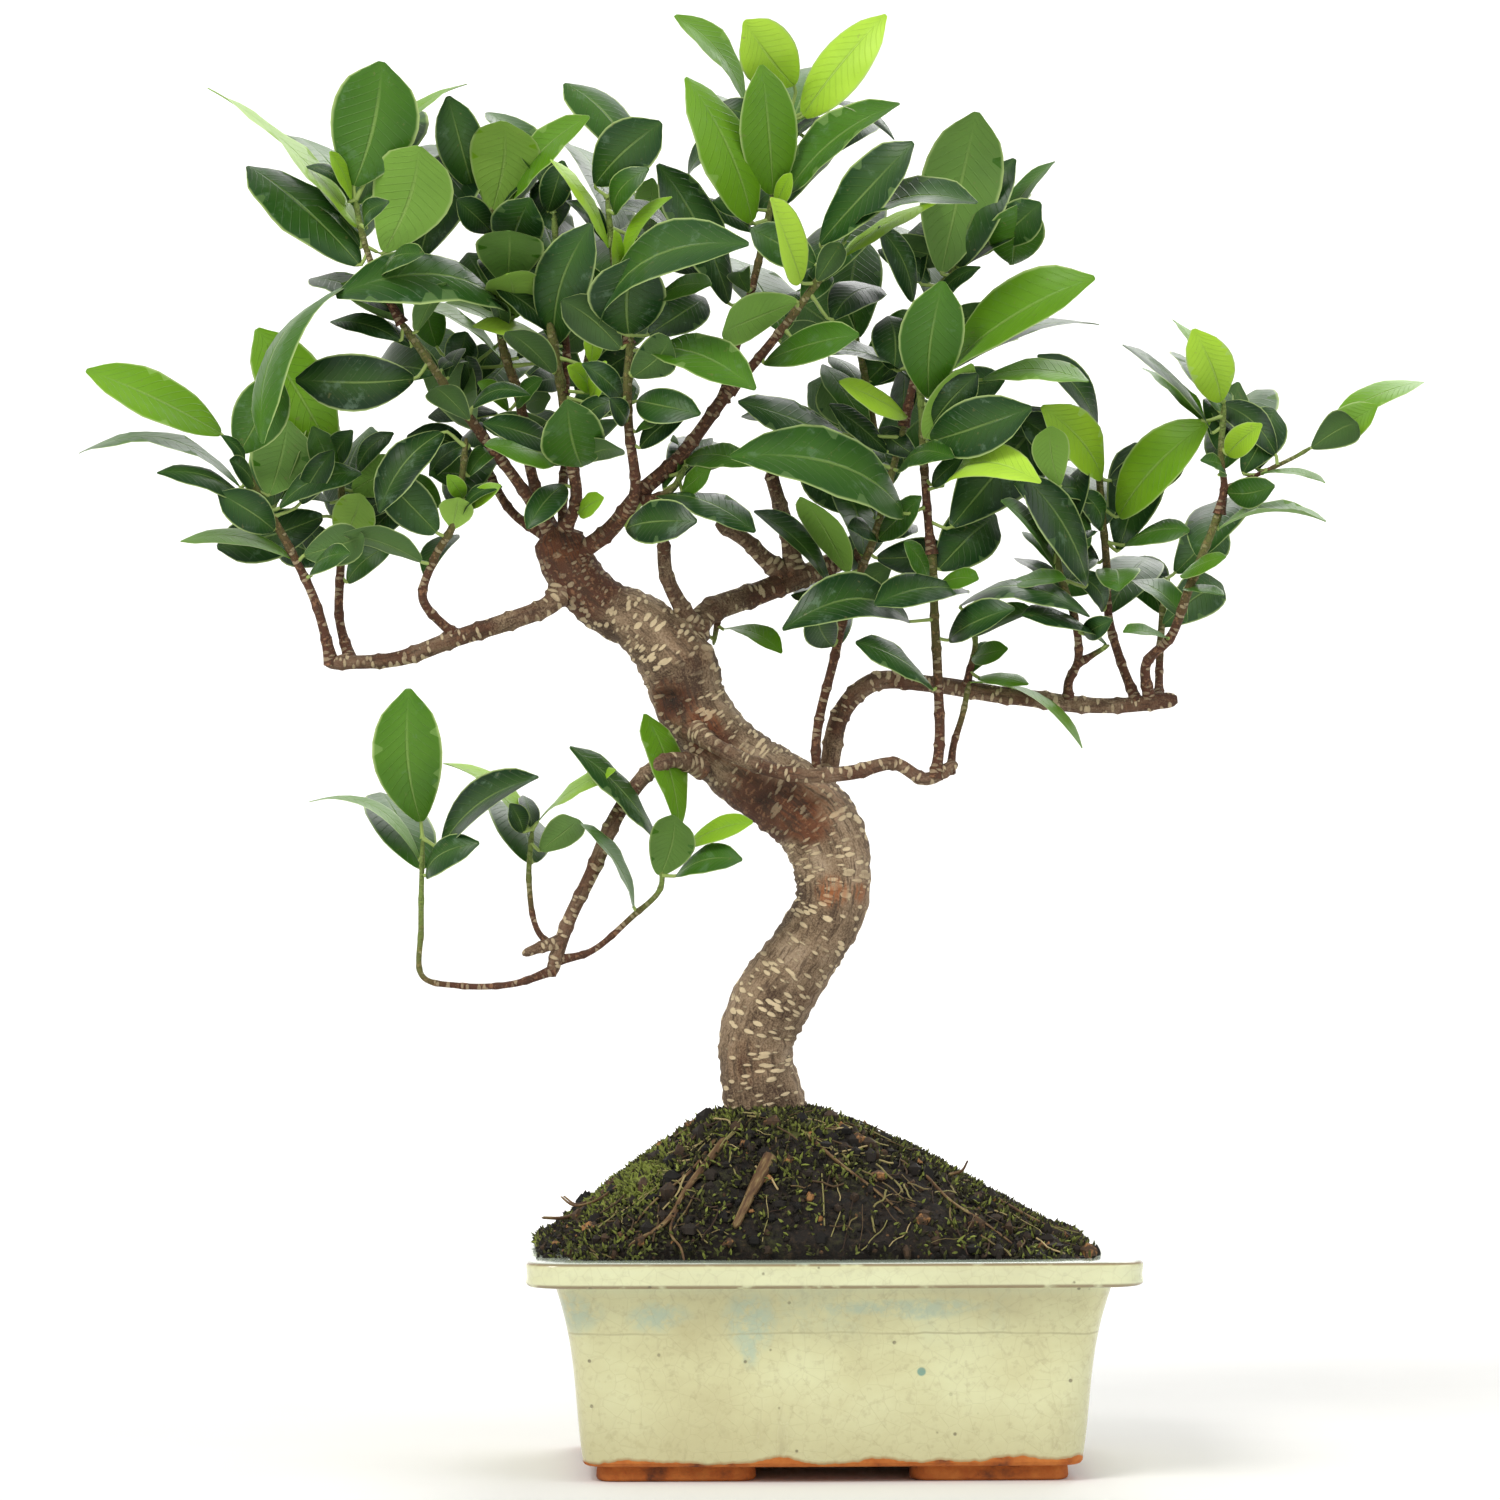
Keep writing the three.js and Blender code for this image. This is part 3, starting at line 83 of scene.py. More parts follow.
shoots = {
    "shoot_left_outer": {"girth": [1.6, 1.1], "paths": [[[-158, 256, -4], [-163, 275, -8], [-171, 292, -10],
        [-182, 311, -12], [-187, 322, -13]]],
     "leaves": [[-193, 329, -13, -235.5, 351, -22, 14, 3, 0.68],
        [-187, 312, -12, -238, 326, -4, 5, 9, 0.45], [-184, 306, -11, -213, 318, -24, 6, 4, 0.25],
        [-187.5, 323, -13, -175, 348, -20, 16, 2, 0.4], [-178, 309.5, -11, -172, 333, 2, -18, 2, 0.5],
        [-170, 289, -9, -206, 297, -2, 5, 3, 0.65], [-168, 307, -9, -158, 324, -16, 8, 2, 0.15],
        [-176, 306, -6, -170, 338, 30, 16, 3, 0.35]]},
    "shoot_left_inner": {"girth": [1.6, 1.1], "paths": [[[-152, 256.5, -3], [-155.5, 270, 2],
        [-155, 291, 6], [-155, 314, 8], [-156, 321, 9]]],
     "leaves": [[-157.5, 323, 9, -182, 363, 2, 20, 3, 0.7], [-160.5, 303, 7, -194.8, 293, 14, 15, 3, 0.1],
        [-154.3, 295, 5, -148.5, 310, -6, -13, 1, 0.8], [-150, 290.5, 5, -130.5, 310.5, 12, 9, 3, 0.25],
        [-159.5, 290, 5, -166, 299, 16, 8, 1, 0.3], [-151.5, 311, 8, -134, 318.5, -2, -12, 2, 0.65],
        [-150, 317, 8, -139, 330, 2, 6, 2, 0.2], [-153, 300, 8, -146, 332, 40, 15, 3, 0.35],
        [-156, 318, 9, -170, 345, 42, 16, 3, 0.4]]},
    "shoot_left_kinked": {"girth": [1.6, 1], "paths": [[[-117, 264.5, -6], [-122, 268, -8],
        [-129, 277, -12], [-125, 290, -14], [-119, 301, -15], [-115, 328, -17]]],
     "leaves": [[-122.5, 330, -18, -142.8, 303.8, -26, 12, 4, 0.08],
        [-114, 326, -16, -127, 316, -8, 6, 2, 0.15], [-123.5, 306, -15, -135, 315, -6, 9, 1, 0.5],
        [-119.5, 299, -15, -117.5, 309.5, -24, -10, 1, 0.8], [-116, 309, -16, -121, 316, -22, 5, 1, 0.75],
        [-114, 306, -16, -104, 313, -24, 5, 2, 0.75], [-118, 305, -14, -108, 326, 22, 14, 3, 0.35]]},
    "shoot_left_middle": {"girth": [1.9, 1.2], "paths": [[[-88, 298, -2], [-98, 313, -8], [-110, 329, -15],
        [-122, 345, -20], [-130, 357, -22], [-136, 365, -23]]],
     "leaves": [[-131.5, 347, -21, -169.5, 346.5, -30, 17, 6, 0.05],
        [-136, 359, -23, -158.5, 365.5, -14, 7, 2, 0.3], [-135, 366, -23, -155, 377, -12, -10, 3, 0.5],
        [-138, 368, -23, -165, 380, 0, 9, 3, 0.2], [-124, 349, -18, -146, 352, 18, 16, 4, 0.3],
        [-112, 332, -14, -128, 350, 22, -14, 3, 0.4]]},
    "shoot_left_high": {"girth": [1.2, 0.9], "paths": [[[-135.5, 364.5, -23], [-143, 378, -24],
        [-148, 392, -25], [-150.5, 404, -26]]],
     "leaves": [[-149.5, 395, -25, -196.7, 441, -32, 6, 3, 0.85],
        [-149, 383, -24, -184.8, 415.5, -10, 17, 5, 0.3], [-151, 408, -26, -142, 448.5, -34, 26, 3, 0.45],
        [-141.5, 387, -24, -130, 421.5, -40, -24, 3, 0.72],
        [-151.5, 404, -26, -158.5, 419.5, -36, 4, 1, 0.8], [-150, 377.5, -24, -183, 328, -44, 7, 11, 0.5],
        [-140, 421, -20, -115, 441.5, -8, 5, 3, 0.75], [-130, 385, -18, -112, 421, 10, 20, 3, 0.08],
        [-148, 392, -24, -168, 424, 30, 18, 4, 0.4], [-150, 402, -25, -136, 436, 20, 20, 3, 0.4]]},
    "shoot_rear_left": {"girth": [1.6, 1.1], "paths": [[[-88, 296, 3], [-100, 304, 8], [-109, 320, 14],
        [-114, 340, 18], [-114, 350, 19]]],
     "leaves": [[-105, 336, 15, -127.5, 336, 20, 6, 2, 0.15], [-120, 350, 18, -115, 362, 10, 10, 1, 0.25],
        [-112, 346, 18, -106, 358, 26, 9, 1, 0.3], [-103, 352, 16, -133, 371.5, 4, 4, 3, 0.7],
        [-124.5, 357, 19, -128, 371, 26, 10, 1, 0.45], [-103, 362, 18, -123, 372, 34, 6, 2, 0.7],
        [-114, 344, 19, -130, 364, 48, 16, 3, 0.35], [-112, 338, 17, -96, 356, 46, 15, 3, 0.4]]},
    "shoot_crown_left": {"girth": [1.9, 1.3], "paths": [[[-87, 297, 0], [-94, 316, -3], [-98, 340, -6],
        [-104, 361, -8], [-103, 380, -8]]],
     "leaves": [[-100, 367, -9, -156, 375.5, -34, 15, 13, 0.33],
        [-83, 354, -6, -112, 365.5, -22, 5, 2, 0.95], [-101.5, 337, -7, -111, 346, -16, 5, 1, 0.6],
        [-99, 338, -7, -91, 347, -18, 5, 1, 0.4], [-102, 377, -14, -101.5, 394, -40, -20, 3, 0.5],
        [-100, 366, -8, -102, 381, -32, -16, 2, 0.8]]},
    "shoot_crown_left_top": {"girth": [1.2, 0.9], "paths": [[[-103, 379, -8], [-105, 392, -6],
        [-108, 404, -4], [-112, 409, -3]]],
     "leaves": [[-113, 408, -3, -121, 437.5, -14, 14, 3, 0.35],
        [-107, 400, -5, -103, 430.5, -24, -21, 3, 0.75], [-100, 388, -7, -95, 404, -30, 16, 2, 0.3],
        [-101, 404, -4, -75.5, 431, -20, 10, 4, 0.6], [-108, 402, -3, -126, 424, 40, 17, 3, 0.35],
        [-106, 396, -4, -92, 420, 44, 16, 3, 0.45]]},
    "shoot_crown_front": {"girth": [2, 1.5], "paths": [[[-85, 296, -3], [-80, 308, -10], [-83, 328, -15],
        [-84, 340, -17], [-88.5, 365, -20]]],
     "leaves": [[-78, 319, -16, -83, 340, -40, 19, 2, 0.4], [-86, 325, -14, -109.5, 333, -28, 9, 3, 0.2],
        [-86, 321, -16, -108.5, 326.5, -38, 8, 2, 0.55], [-83.5, 313, -12, -95.5, 299, -26, 9, 3, 0.3],
        [-75, 352, -19, -74, 364.5, -27, 5.5, 1, 0.8], [-75.5, 343, -18, -82, 351, -32, 6, 1, 0.85],
        [-74.5, 340, -20, -71, 352.5, -29, 5, 1, 0.85], [-79, 304, -10, -71, 309, -24, 6, 1, 0.75],
        [-82, 318, -12, -70, 334, 30, 15, 3, 0.35]]},
    "shoot_crown_middle": {"girth": [1.3, 1], "paths": [[[-84, 342, -17], [-83, 356, -13], [-85, 370, -12],
        [-87, 400, -10]]],
     "leaves": [[-87, 358, -14, -75.8, 396.5, -34, 17, 3, 0.3], [-88, 405, -10, -108, 433, 8, 10, 4, 0.4],
        [-89, 400.5, -10, -84, 417, -22, 9, 2, 0.25], [-86, 384, -10, -98, 410, 36, 17, 3, 0.4],
        [-84, 372, -11, -70, 398, 34, 16, 3, 0.35]]},
    "shoot_crown_round": {"girth": [1.7, 1.3], "paths": [[[-63, 304, -11], [-61, 313, -18], [-63, 330, -23],
        [-63.5, 345, -26], [-62.5, 361, -28]]],
     "leaves": [[-61, 330, -23, -42, 337, -36, 5, 2, 0.5], [-60.5, 340, -24, -41, 336.5, -44, 11, 3, 0.3],
        [-57, 356, -27, -22.5, 344.5, -50, 13, 7, 0.5], [-63, 361, -28, -62, 385, -44, 23, 2, 0.2],
        [-57, 361, -26, -38, 374, -6, 13, 2, 0.12], [-55, 372, -30, -36.5, 377, -48, 7, 2, 0.5],
        [-72, 364, -28, -24.5, 390.5, -60, 14, 13, 0.33]]},
    "shoot_crown_round_top": {"girth": [1.2, 0.9], "paths": [[[-63, 358, -27], [-66, 373, -24],
        [-68, 385, -22], [-70, 405, -19]]],
     "leaves": [[-69.5, 389, -22, -88.5, 417, -38, 5, 2, 0.95],
        [-66.5, 381, -23, -68, 394.5, -34, 4, 1, 0.85], [-65, 383, -23, -49.5, 405.5, -34, 4.5, 2, 0.8],
        [-69, 402, -19, -48, 390, -6, 5, 5, 0.3], [-74, 409, -20, -52.5, 429.5, -34, 17, 4, 0.25],
        [-60, 414, -12, -83.5, 442, 4, 13, 4, 0.4], [-56, 392, -16, -55, 411.5, 2, -10, 2, 0.55],
        [-69, 395, -18, -80, 424, 36, 16, 3, 0.4], [-68, 380, -20, -52, 404, 34, 17, 3, 0.35]]},
    "shoot_crown_low": {"girth": [1.3, 1], "paths": [[[-61, 308, -11], [-55, 309, -15], [-49, 312, -17],
        [-45, 319, -16]]],
     "leaves": [[-54.5, 309.5, -16, -22.5, 299.5, -36, 8, 4, 0.2],
        [-64, 299, -14, -41.5, 301.5, -38, 13, 4, 0.12], [-45, 321, -14, -23.5, 320, -32, 8, 3, 0.45],
        [-46, 311, -16, -37, 319, -28, 6, 1, 0.55], [-50, 316, -14, -30, 326, 24, 15, 3, 0.3]]},
    "shoot_centre_left": {"girth": [1.6, 1.1], "paths": [[[-31, 343, -12], [-23, 352, -12], [-15, 362, -13],
        [-8, 371, -14], [4, 388, -16]]],
     "leaves": [[-9, 372, -16, -34, 362, -40, -12, 3, 0.6], [-8, 378, -17, -18, 405, -46, 11, 2, 1],
        [-20, 352, -13, 11, 361, -34, 11, 4, 0.5], [-6, 355, -12, 27, 348, 6, 6, 4, 0.12],
        [2, 366, -10, 18, 378, 16, 12, 2, 0.1], [-2, 390, -17, 28.5, 423, -36, 15, 4, 0.25],
        [6, 391, -16, 48, 405, -48, 8, 8, 0.3], [5, 386, -16, 35.5, 405, -6, 5, 2, 0.85],
        [-2, 378, -12, 14, 402, 36, 17, 3, 0.35], [-14, 362, -10, -30, 386, 34, 17, 3, 0.4]]},
    "shoot_crown_top": {"girth": [1.4, 1], "paths": [[[-33, 340, -12], [-28, 360, -8], [-24, 375, -6],
        [-21, 387, -5], [-15, 415, -3], [-12, 430, -2]]],
     "leaves": [[-23.5, 397, -8, -43.5, 444, -26, 17, 4, 0.7], [-17, 406, -5, -21, 448, -22, 17.5, 3, 0.65],
        [-12, 407, -4, 22, 437, -22, 12, 4, 0.5], [-16, 402, -5, -11, 413, -14, 5, 1, 0.85],
        [-25, 432, 2, -47, 464.5, -6, 8, 3, 0.65], [-10, 441, -2, -26, 461.5, -24, 18, 2, 0.95],
        [-7.5, 431, -2, 18.5, 464.5, -14, 15, 3, 0.9], [2, 436, -2, 22, 424, -14, 4, 4, 0.1],
        [-30, 424, 2, -44, 411, 14, 6, 3, 0.2], [-25, 397, -4, -36, 418, 14, 10, 3, 0.25],
        [-31, 371, -8, -54, 416, -22, 15, 4, 0.2], [4, 420, 6, 16, 431, 24, 10, 2, 0.2],
        [-14, 412, 0, -34, 440, 44, 18, 3, 0.4], [-12, 424, 0, 6, 450, 46, 18, 3, 0.45],
        [-18, 400, -2, 2, 424, 48, 18, 3, 0.35]]},
    "shoot_centre_low": {"girth": [1.6, 1.1], "paths": [[[-2, 210, -2], [-3, 232, 0], [2, 255, 2],
        [8, 278, 3], [15, 295, 0], [20, 313, -2], [26, 335, -4]]],
     "leaves": [[1.5, 280, 2, -22, 305.5, -12, 7, 3, 0.2], [7, 285, 2, -7.5, 310, -20, -9, 2, 0.65],
        [17, 296, 0, 31, 309.5, -14, 8, 2, 0.4], [16, 295, 0, 29, 300, 14, 6, 2, 0.15],
        [12, 322, -3, -28, 340, -26, 12, 3, 0.25], [4, 330, 0, -27, 337, 14, 7, 2, 0.35],
        [26, 335, -5, 4, 346, -22, 8, 2, 0.9], [14, 330, -4, -1, 352, 8, 9, 2, 0.45],
        [25, 332, -3, 26, 352, 14, 8, 2, 0.15], [12, 290, 2, 2, 316, 40, 15, 3, 0.35],
        [20, 313, -1, 8, 334, 36, 15, 3, 0.4], [4, 262, 4, -8, 284, 38, 14, 3, 0.35]]},
    "shoot_centre_right": {"girth": [1.6, 1.4], "paths": [[[35, 219, -15], [36.5, 230, -13], [36, 250, -11],
        [35, 270, -10], [34, 294, -9]], [[40, 221, -13], [41, 230, -8], [44, 240, -5], [46, 250, -3]]],
     "leaves": [[27, 269.5, -14, -13.5, 268, -30, 14, 10, 0.15], [46, 279, -14, 16, 276, -34, 9, 3, 0.2],
        [33, 281, -12, 25.5, 295, -24, 6, 1, 0.5], [36, 281, -12, 49, 283, -26, 6, 1, 0.55],
        [34.5, 247.5, -13, 9.5, 262.8, -28, 7, 3, 0.35], [39.5, 263.5, -11, 60, 274, -30, 9, 3, 0.2],
        [36, 286, -9, 55, 304, 8, 17, 3, 0.2]]},
    "shoot_centre_right_high": {"girth": [1.4, 1.2], "paths": [[[34, 291, -9], [33, 300, -9],
        [31.5, 320, -9], [31, 335, -9], [30, 346, -9]]],
     "leaves": [[25, 304, -14, -31, 322, -46, 20, 12, 0.38], [37.5, 313, -12, 68, 316, -38, 10, 7, 1],
        [40, 299.5, -8, 71.5, 338, 14, 24, 4, 0.15], [33, 327, -10, 65, 338, -36, 17, 6, 0.2],
        [33, 341, -10, 37.5, 378.5, -32, 19, 3, 0.5], [38, 349, -10, 86, 380.5, -38, 15, 5, 0.65],
        [40, 350, -6, 87, 368, 10, 7, 4, 0.3], [32, 328, -12, 47, 352, -26, -12, 2, 0.75],
        [50, 347, -14, 84.5, 346, -32, 8, 4, 0.65]]},
    "shoot_right_crown": {"girth": [1.3, 1], "paths": [[[25, 332, -4], [29, 350, -2], [32, 364, 0],
        [36, 376, 2], [44, 384, 4], [55, 390, 6]]],
     "leaves": [[37, 381, 0, 48.5, 433, -24, -24, 5, 0.5], [28, 372, 0, 17, 396, -14, 9, 2, 0.15],
        [42, 383, 2, 59.5, 418.5, -6, 14, 4, 0.25], [60, 384, 8, 63, 404, -12, 17, 3, 0.5],
        [57, 396, 8, 72.5, 418, 4, 5, 2, 0.5], [30, 378, 2, 30, 398, 20, 9, 2, 0.15],
        [22, 350, -2, 20, 368, 14, 14, 2, 0.15], [40, 380, 4, 62, 410, 48, 18, 3, 0.4],
        [34, 370, 2, 26, 398, 46, 17, 3, 0.35], [32, 360, 0, 60, 366, 44, 16, 3, 0.35]]},
    "shoot_right_low": {"girth": [1.2, 0.8], "paths": [[[45, 247.5, 7], [46, 253, 2], [48, 262, 0],
        [47, 270, -1]]],
     "leaves": [[43, 274.5, -2, 84.5, 273.5, -24, 7, 8, 0.2], [56, 280, -6, 76.5, 284.5, -22, 4, 1, 0.5],
        [48, 265, -1, 67, 273, -14, 6, 2, 0.45], [47, 258, 0, 58, 261, -14, 6, 1, 0.5],
        [46.5, 253, 1, 57, 262, 12, 6, 2, 0.45], [49, 251.5, 2, 65, 249.5, -10, 4, 2, 0.6],
        [46, 250, 3, 83, 230, -12, 3, 6, 0.65]]},
    "shoot_right_middle": {"girth": [1.4, 1], "paths": [[[78, 243.5, 5], [78, 250, 0], [81, 257, -3],
        [80, 270, -9], [75, 286, -12], [74, 304, -14], [75, 313, -15]], [[81, 256, -3], [91, 262, -6]]],
     "leaves": [[84, 281, -12, 64, 317, -26, 13, 4, 0.1], [84, 293, -6, 68, 319, 8, 8, 3, 0.4],
        [73, 288, -13, 56, 308, -34, 6, 2, 0.45], [74, 286, -12, 63, 298, -2, 5, 2, 0.4],
        [90, 262, -6, 63, 271.5, -26, 4, 4, 0.15], [75, 293, -12, 83, 320, 2, 9, 2, 0.1],
        [75, 313, -15, 72, 333, -30, -11, 2, 0.7]]},
    "shoot_right_inner": {"girth": [1.5, 1.1], "paths": [[[100, 243.5, 3], [95, 256, 7], [91, 270, 10],
        [90, 290, 9], [88, 314, 6], [88, 326, 5]]],
     "leaves": [[88.5, 315, 4, 70.5, 338.5, -18, 14, 4, 0.85], [94, 303, 8, 122.5, 334.5, -12, 15, 4, 0.75],
        [94, 292, 10, 100, 327, 28, 17, 3, 0.3], [96, 294, 8, 116.5, 299.5, -6, 6, 2, 0.5],
        [93, 281, 8, 116, 269, -10, 6, 6, 0.4], [91, 286, 8, 94, 281, -18, 13, 2, 0.5],
        [87, 331, 4, 69.5, 355.5, -12, 9, 3, 0.25], [91, 272, 10, 104, 292, 42, 15, 3, 0.35],
        [89, 300, 8, 76, 322, 44, 15, 3, 0.4]]},
    "shoot_right_outer": {"girth": [1.6, 1.3], "paths": [[[104, 244, 3], [103, 256, -4], [111, 265, -10],
        [117, 281, -15], [123, 296, -17], [127, 306, -18]]],
     "leaves": [[110, 264, -11, 96, 267, -24, 3, 1, 0.5], [115, 280, -14, 127.8, 278, -26, 3, 1, 0.45],
        [114, 284, -15, 128, 291, -28, 4, 1, 0.6], [126, 299, -17, 161, 301, -32, 3, 5, 0.6],
        [120, 290, -15, 132, 312, 22, 14, 3, 0.35]]},
    "shoot_right_top": {"girth": [1.2, 0.9], "paths": [[[126.5, 304, -18], [128, 313, -18], [127, 322, -18],
        [128, 340, -18]], [[128, 312, -18], [136, 315.5, -17], [150, 322, -15], [157, 326, -14]]],
     "leaves": [[140, 317, -18, 160.5, 314, -32, 3, 2, 0.6], [129, 311, -18, 144, 313, -34, 9, 1, 0.4],
        [157, 326, -14, 177, 339, -26, 10, 2, 0.7], [164, 335, -12, 192.5, 346.5, -4, 7, 3, 0.75],
        [134, 317, -16, 144, 338, -2, 13, 3, 0.3], [129, 323, -19, 139.5, 332.5, -34, 8, 1, 0.85],
        [127, 340, -18, 118.5, 363, -34, 13.5, 3, 0.9], [125, 341, -16, 111, 366, 2, 7, 3, 0.7],
        [124, 330, -18, 97.5, 360.2, -34, 4, 3, 0.15], [121, 334, -17, 101.5, 350.3, -2, 6, 2, 0.55],
        [127, 318, -16, 138, 344, 28, 15, 3, 0.35], [127, 336, -16, 116, 356, 26, 14, 3, 0.4]]},
    "shoot_right_rear": {"girth": [1.5, 1], "paths": [[[107, 244, 3], [107, 250, 10], [107.5, 262, 18],
        [109, 283, 26]]],
     "leaves": [[112, 285, 29, 125, 303, 45, 16, 3, 0.35], [108, 272, 23, 94, 290, 52, 15, 3, 0.35],
        [108, 268, 20, 128, 282, 36, 14, 3, 0.35]]},
    "shoot_low_left": {"girth": [1.1, 0.8], "paths": [[[-87, 158, -19], [-100, 153.5, -21],
        [-118, 153, -20], [-129, 156, -18], [-129.5, 172, -16], [-129, 200, -14]]],
     "leaves": [[-129.5, 205, -14, -133.5, 248.5, -30, 20.5, 5, 0.55],
        [-130, 193, -14, -164.5, 213.5, -2, 3, 8, 0.6], [-123, 197, -15, -92.5, 220, -36, 10, 4, 0.1],
        [-128, 188, -15, -112, 199, -32, 8, 4, 0.3], [-129, 190, -14, -142, 216, 24, 16, 3, 0.4]]},
    "shoot_low_middle": {"girth": [1, 0.8], "paths": [[[-85, 164, -20], [-92, 170, -20], [-95, 186, -19],
        [-94, 203, -17]]],
     "leaves": [[-95.5, 203, -17, -121.5, 225.5, -4, 5, 3, 0.85],
        [-97, 202, -17, -101, 211, -28, 6, 1, 0.1], [-94, 203, -17, -97, 213.5, -6, 5, 1, 0.1],
        [-92.5, 205, -18, -68, 223, -30, 3, 2, 0.8], [-91.5, 196, -18, -78.5, 207, -34, -9.5, 2, 0.5],
        [-94, 192, -17, -104, 214, 20, 14, 3, 0.35]]},
    "shoot_low_right": {"girth": [1.1, 0.8], "paths": [[[-86, 161, -19], [-75, 164, -20], [-62, 175, -20],
        [-53, 184, -20], [-53, 194, -20]]],
     "leaves": [[-54.5, 200, -20, -82, 229.5, -32, 7, 3, 0.3],
        [-61.5, 178, -20, -79, 204.5, -36, 4, 3, 0.5], [-53, 188, -20, -48.5, 208, -36, -13.5, 2, 0.5],
        [-45, 197, -20, -24, 206, -32, 6, 2, 0.8], [-48, 188, -20, -27.5, 194, -36, 7, 2, 0.45],
        [-47, 203, -16, -58, 240, -6, 10, 3, 0.65]]},
    "shoot_inner": {"girth": [1, 0.7], "paths": [[[-34, 274, 9], [-35, 268, 12], [-36, 262, 16]]],
     "leaves": [[-33, 267, 11, -14, 260.5, -2, 5, 2, 0.6], [-40, 266, 16, -64, 273, 30, 5, 2, 0.45]]},
    "shoot_rear_centre": {"girth": [1.7, 1.1], "paths": [[[8, 290, 19], [14, 305, 26], [16, 320, 30],
        [14, 340, 34], [10, 360, 36]]],
     "leaves": [[14, 305, 26, -6, 322, 46, 17, 3, 0.35], [16, 320, 30, 36, 338, 50, 17, 3, 0.35],
        [15, 330, 32, -6, 346, 54, 17, 3, 0.4], [12, 345, 34, 30, 364, 58, 17, 3, 0.35],
        [10, 358, 36, -12, 374, 58, 17, 3, 0.4], [10, 360, 36, 12, 392, 62, 18, 3, 0.4]]},
    "shoot_rear_crown": {"girth": [1.7, 1.1], "paths": [[[-84, 294, 3], [-84, 315, 20], [-80, 335, 32],
        [-76, 355, 40], [-72, 375, 44]]],
     "leaves": [[-83, 320, 23, -98, 334, 48, 17, 3, 0.35], [-80, 335, 32, -62, 350, 54, 17, 3, 0.4],
        [-78, 345, 36, -96, 360, 58, 17, 3, 0.35], [-76, 355, 40, -58, 372, 60, 17, 3, 0.4],
        [-73, 370, 43, -88, 388, 64, 17, 3, 0.35], [-72, 375, 44, -64, 402, 62, 18, 3, 0.4]]},
}


class Wire:
    # a socket that does arithmetic: each operator adds a Math node
    def __init__(self, finish, link):
        self.finish, self.link = finish, link

    def op(self, operation, *inputs):
        return self.finish.node("ShaderNodeMath", {"operation": operation}, inputs)

    def __add__(self, other):
        return self.op("ADD", self, other)

    def __radd__(self, other):
        return self.op("ADD", other, self)

    def __sub__(self, other):
        return self.op("SUBTRACT", self, other)

    def __rsub__(self, other):
        return self.op("SUBTRACT", other, self)

    def __mul__(self, other):
        return self.op("MULTIPLY", self, other)

    def __rmul__(self, other):
        return self.op("MULTIPLY", other, self)

    def most(self, other):
        return self.op("MAXIMUM", self, other)

    def sin(self):
        return self.op("SINE", self)

    def size(self):
        return self.op("ABSOLUTE", self)


class Finish:
    # a material: its nodes come from one method, and its principled shader from surface()
    def __init__(self, name):
        self.material = bpy.data.materials.new(name)
        self.material.use_nodes = True
        self.tree = self.material.node_tree
        self.shader = self.tree.nodes["Principled BSDF"]

    def node(self, kind, settings, inputs, output=0):
        made = self.tree.nodes.new(kind)
        for key, value in settings.items():
            if key == "stops":
                ramp = made.color_ramp
                while len(ramp.elements) < len(value):
                    ramp.elements.new(0.5)
                for element, (position, colour) in zip(ramp.elements, value):
                    element.position, element.color = position, (*colour, 1)
            else:
                setattr(made, key, value)
        pairs = inputs.items() if isinstance(inputs, dict) else enumerate(inputs)
        for key, value in pairs:
            if isinstance(value, Wire):
                self.tree.links.new(value.link, made.inputs[key])
            elif isinstance(value, tuple) and len(value) == 3 and made.inputs[key].type == "RGBA":
                made.inputs[key].default_value = (*value, 1)
            else:
                made.inputs[key].default_value = value
        return Wire(self, made.outputs[output])

    def place(self):
        return self.node("ShaderNodeTexCoord", {}, {}, "Object")

    def attribute(self, name, output="Fac"):
        return self.node("ShaderNodeAttribute", {"attribute_name": name}, {}, output)

    def stretched(self, vector, scale):
        return self.node("ShaderNodeMapping", {}, {"Vector": vector, "Scale": scale})

    def noise(self, vector, scale, detail=3, roughness=0.55):
        inputs = {"Vector": vector, "Scale": scale, "Detail": detail, "Roughness": roughness}
        return self.node("ShaderNodeTexNoise", {}, inputs)

    def cells(self, vector, scale, feature="F1"):
        return self.node("ShaderNodeTexVoronoi", {"feature": feature}, {"Vector": vector, "Scale": scale})

    def split(self, vector, axis):
        return self.node("ShaderNodeSeparateXYZ", {}, [vector], axis)

    def step(self, value, low, high):
        # 0 below low, 1 above high, smooth between; low may be above high
        settings = {"interpolation_type": "SMOOTHSTEP"}
        if low > high:
            return 1 - self.node("ShaderNodeMapRange", settings, [value, high, low, 0.0, 1.0])
        return self.node("ShaderNodeMapRange", settings, [value, low, high, 0.0, 1.0])

    def ramp(self, value, *stops):
        return self.node("ShaderNodeValToRGB", {"stops": stops}, [value])

    def mix(self, share, first, second):
        return self.node("ShaderNodeMix", {"data_type": "RGBA"}, {0: share, 6: first, 7: second}, 2)

    def bump(self, height, distance, strength=1.0):
        return self.node("ShaderNodeBump", {}, {"Strength": strength, "Distance": distance, "Height": height})

    def surface(self, **sockets):
        for name, value in sockets.items():
            socket = self.shader.inputs[name.replace("_", " ")]
            if isinstance(value, Wire):
                self.tree.links.new(value.link, socket)
            else:
                socket.default_value = value
        return self.material


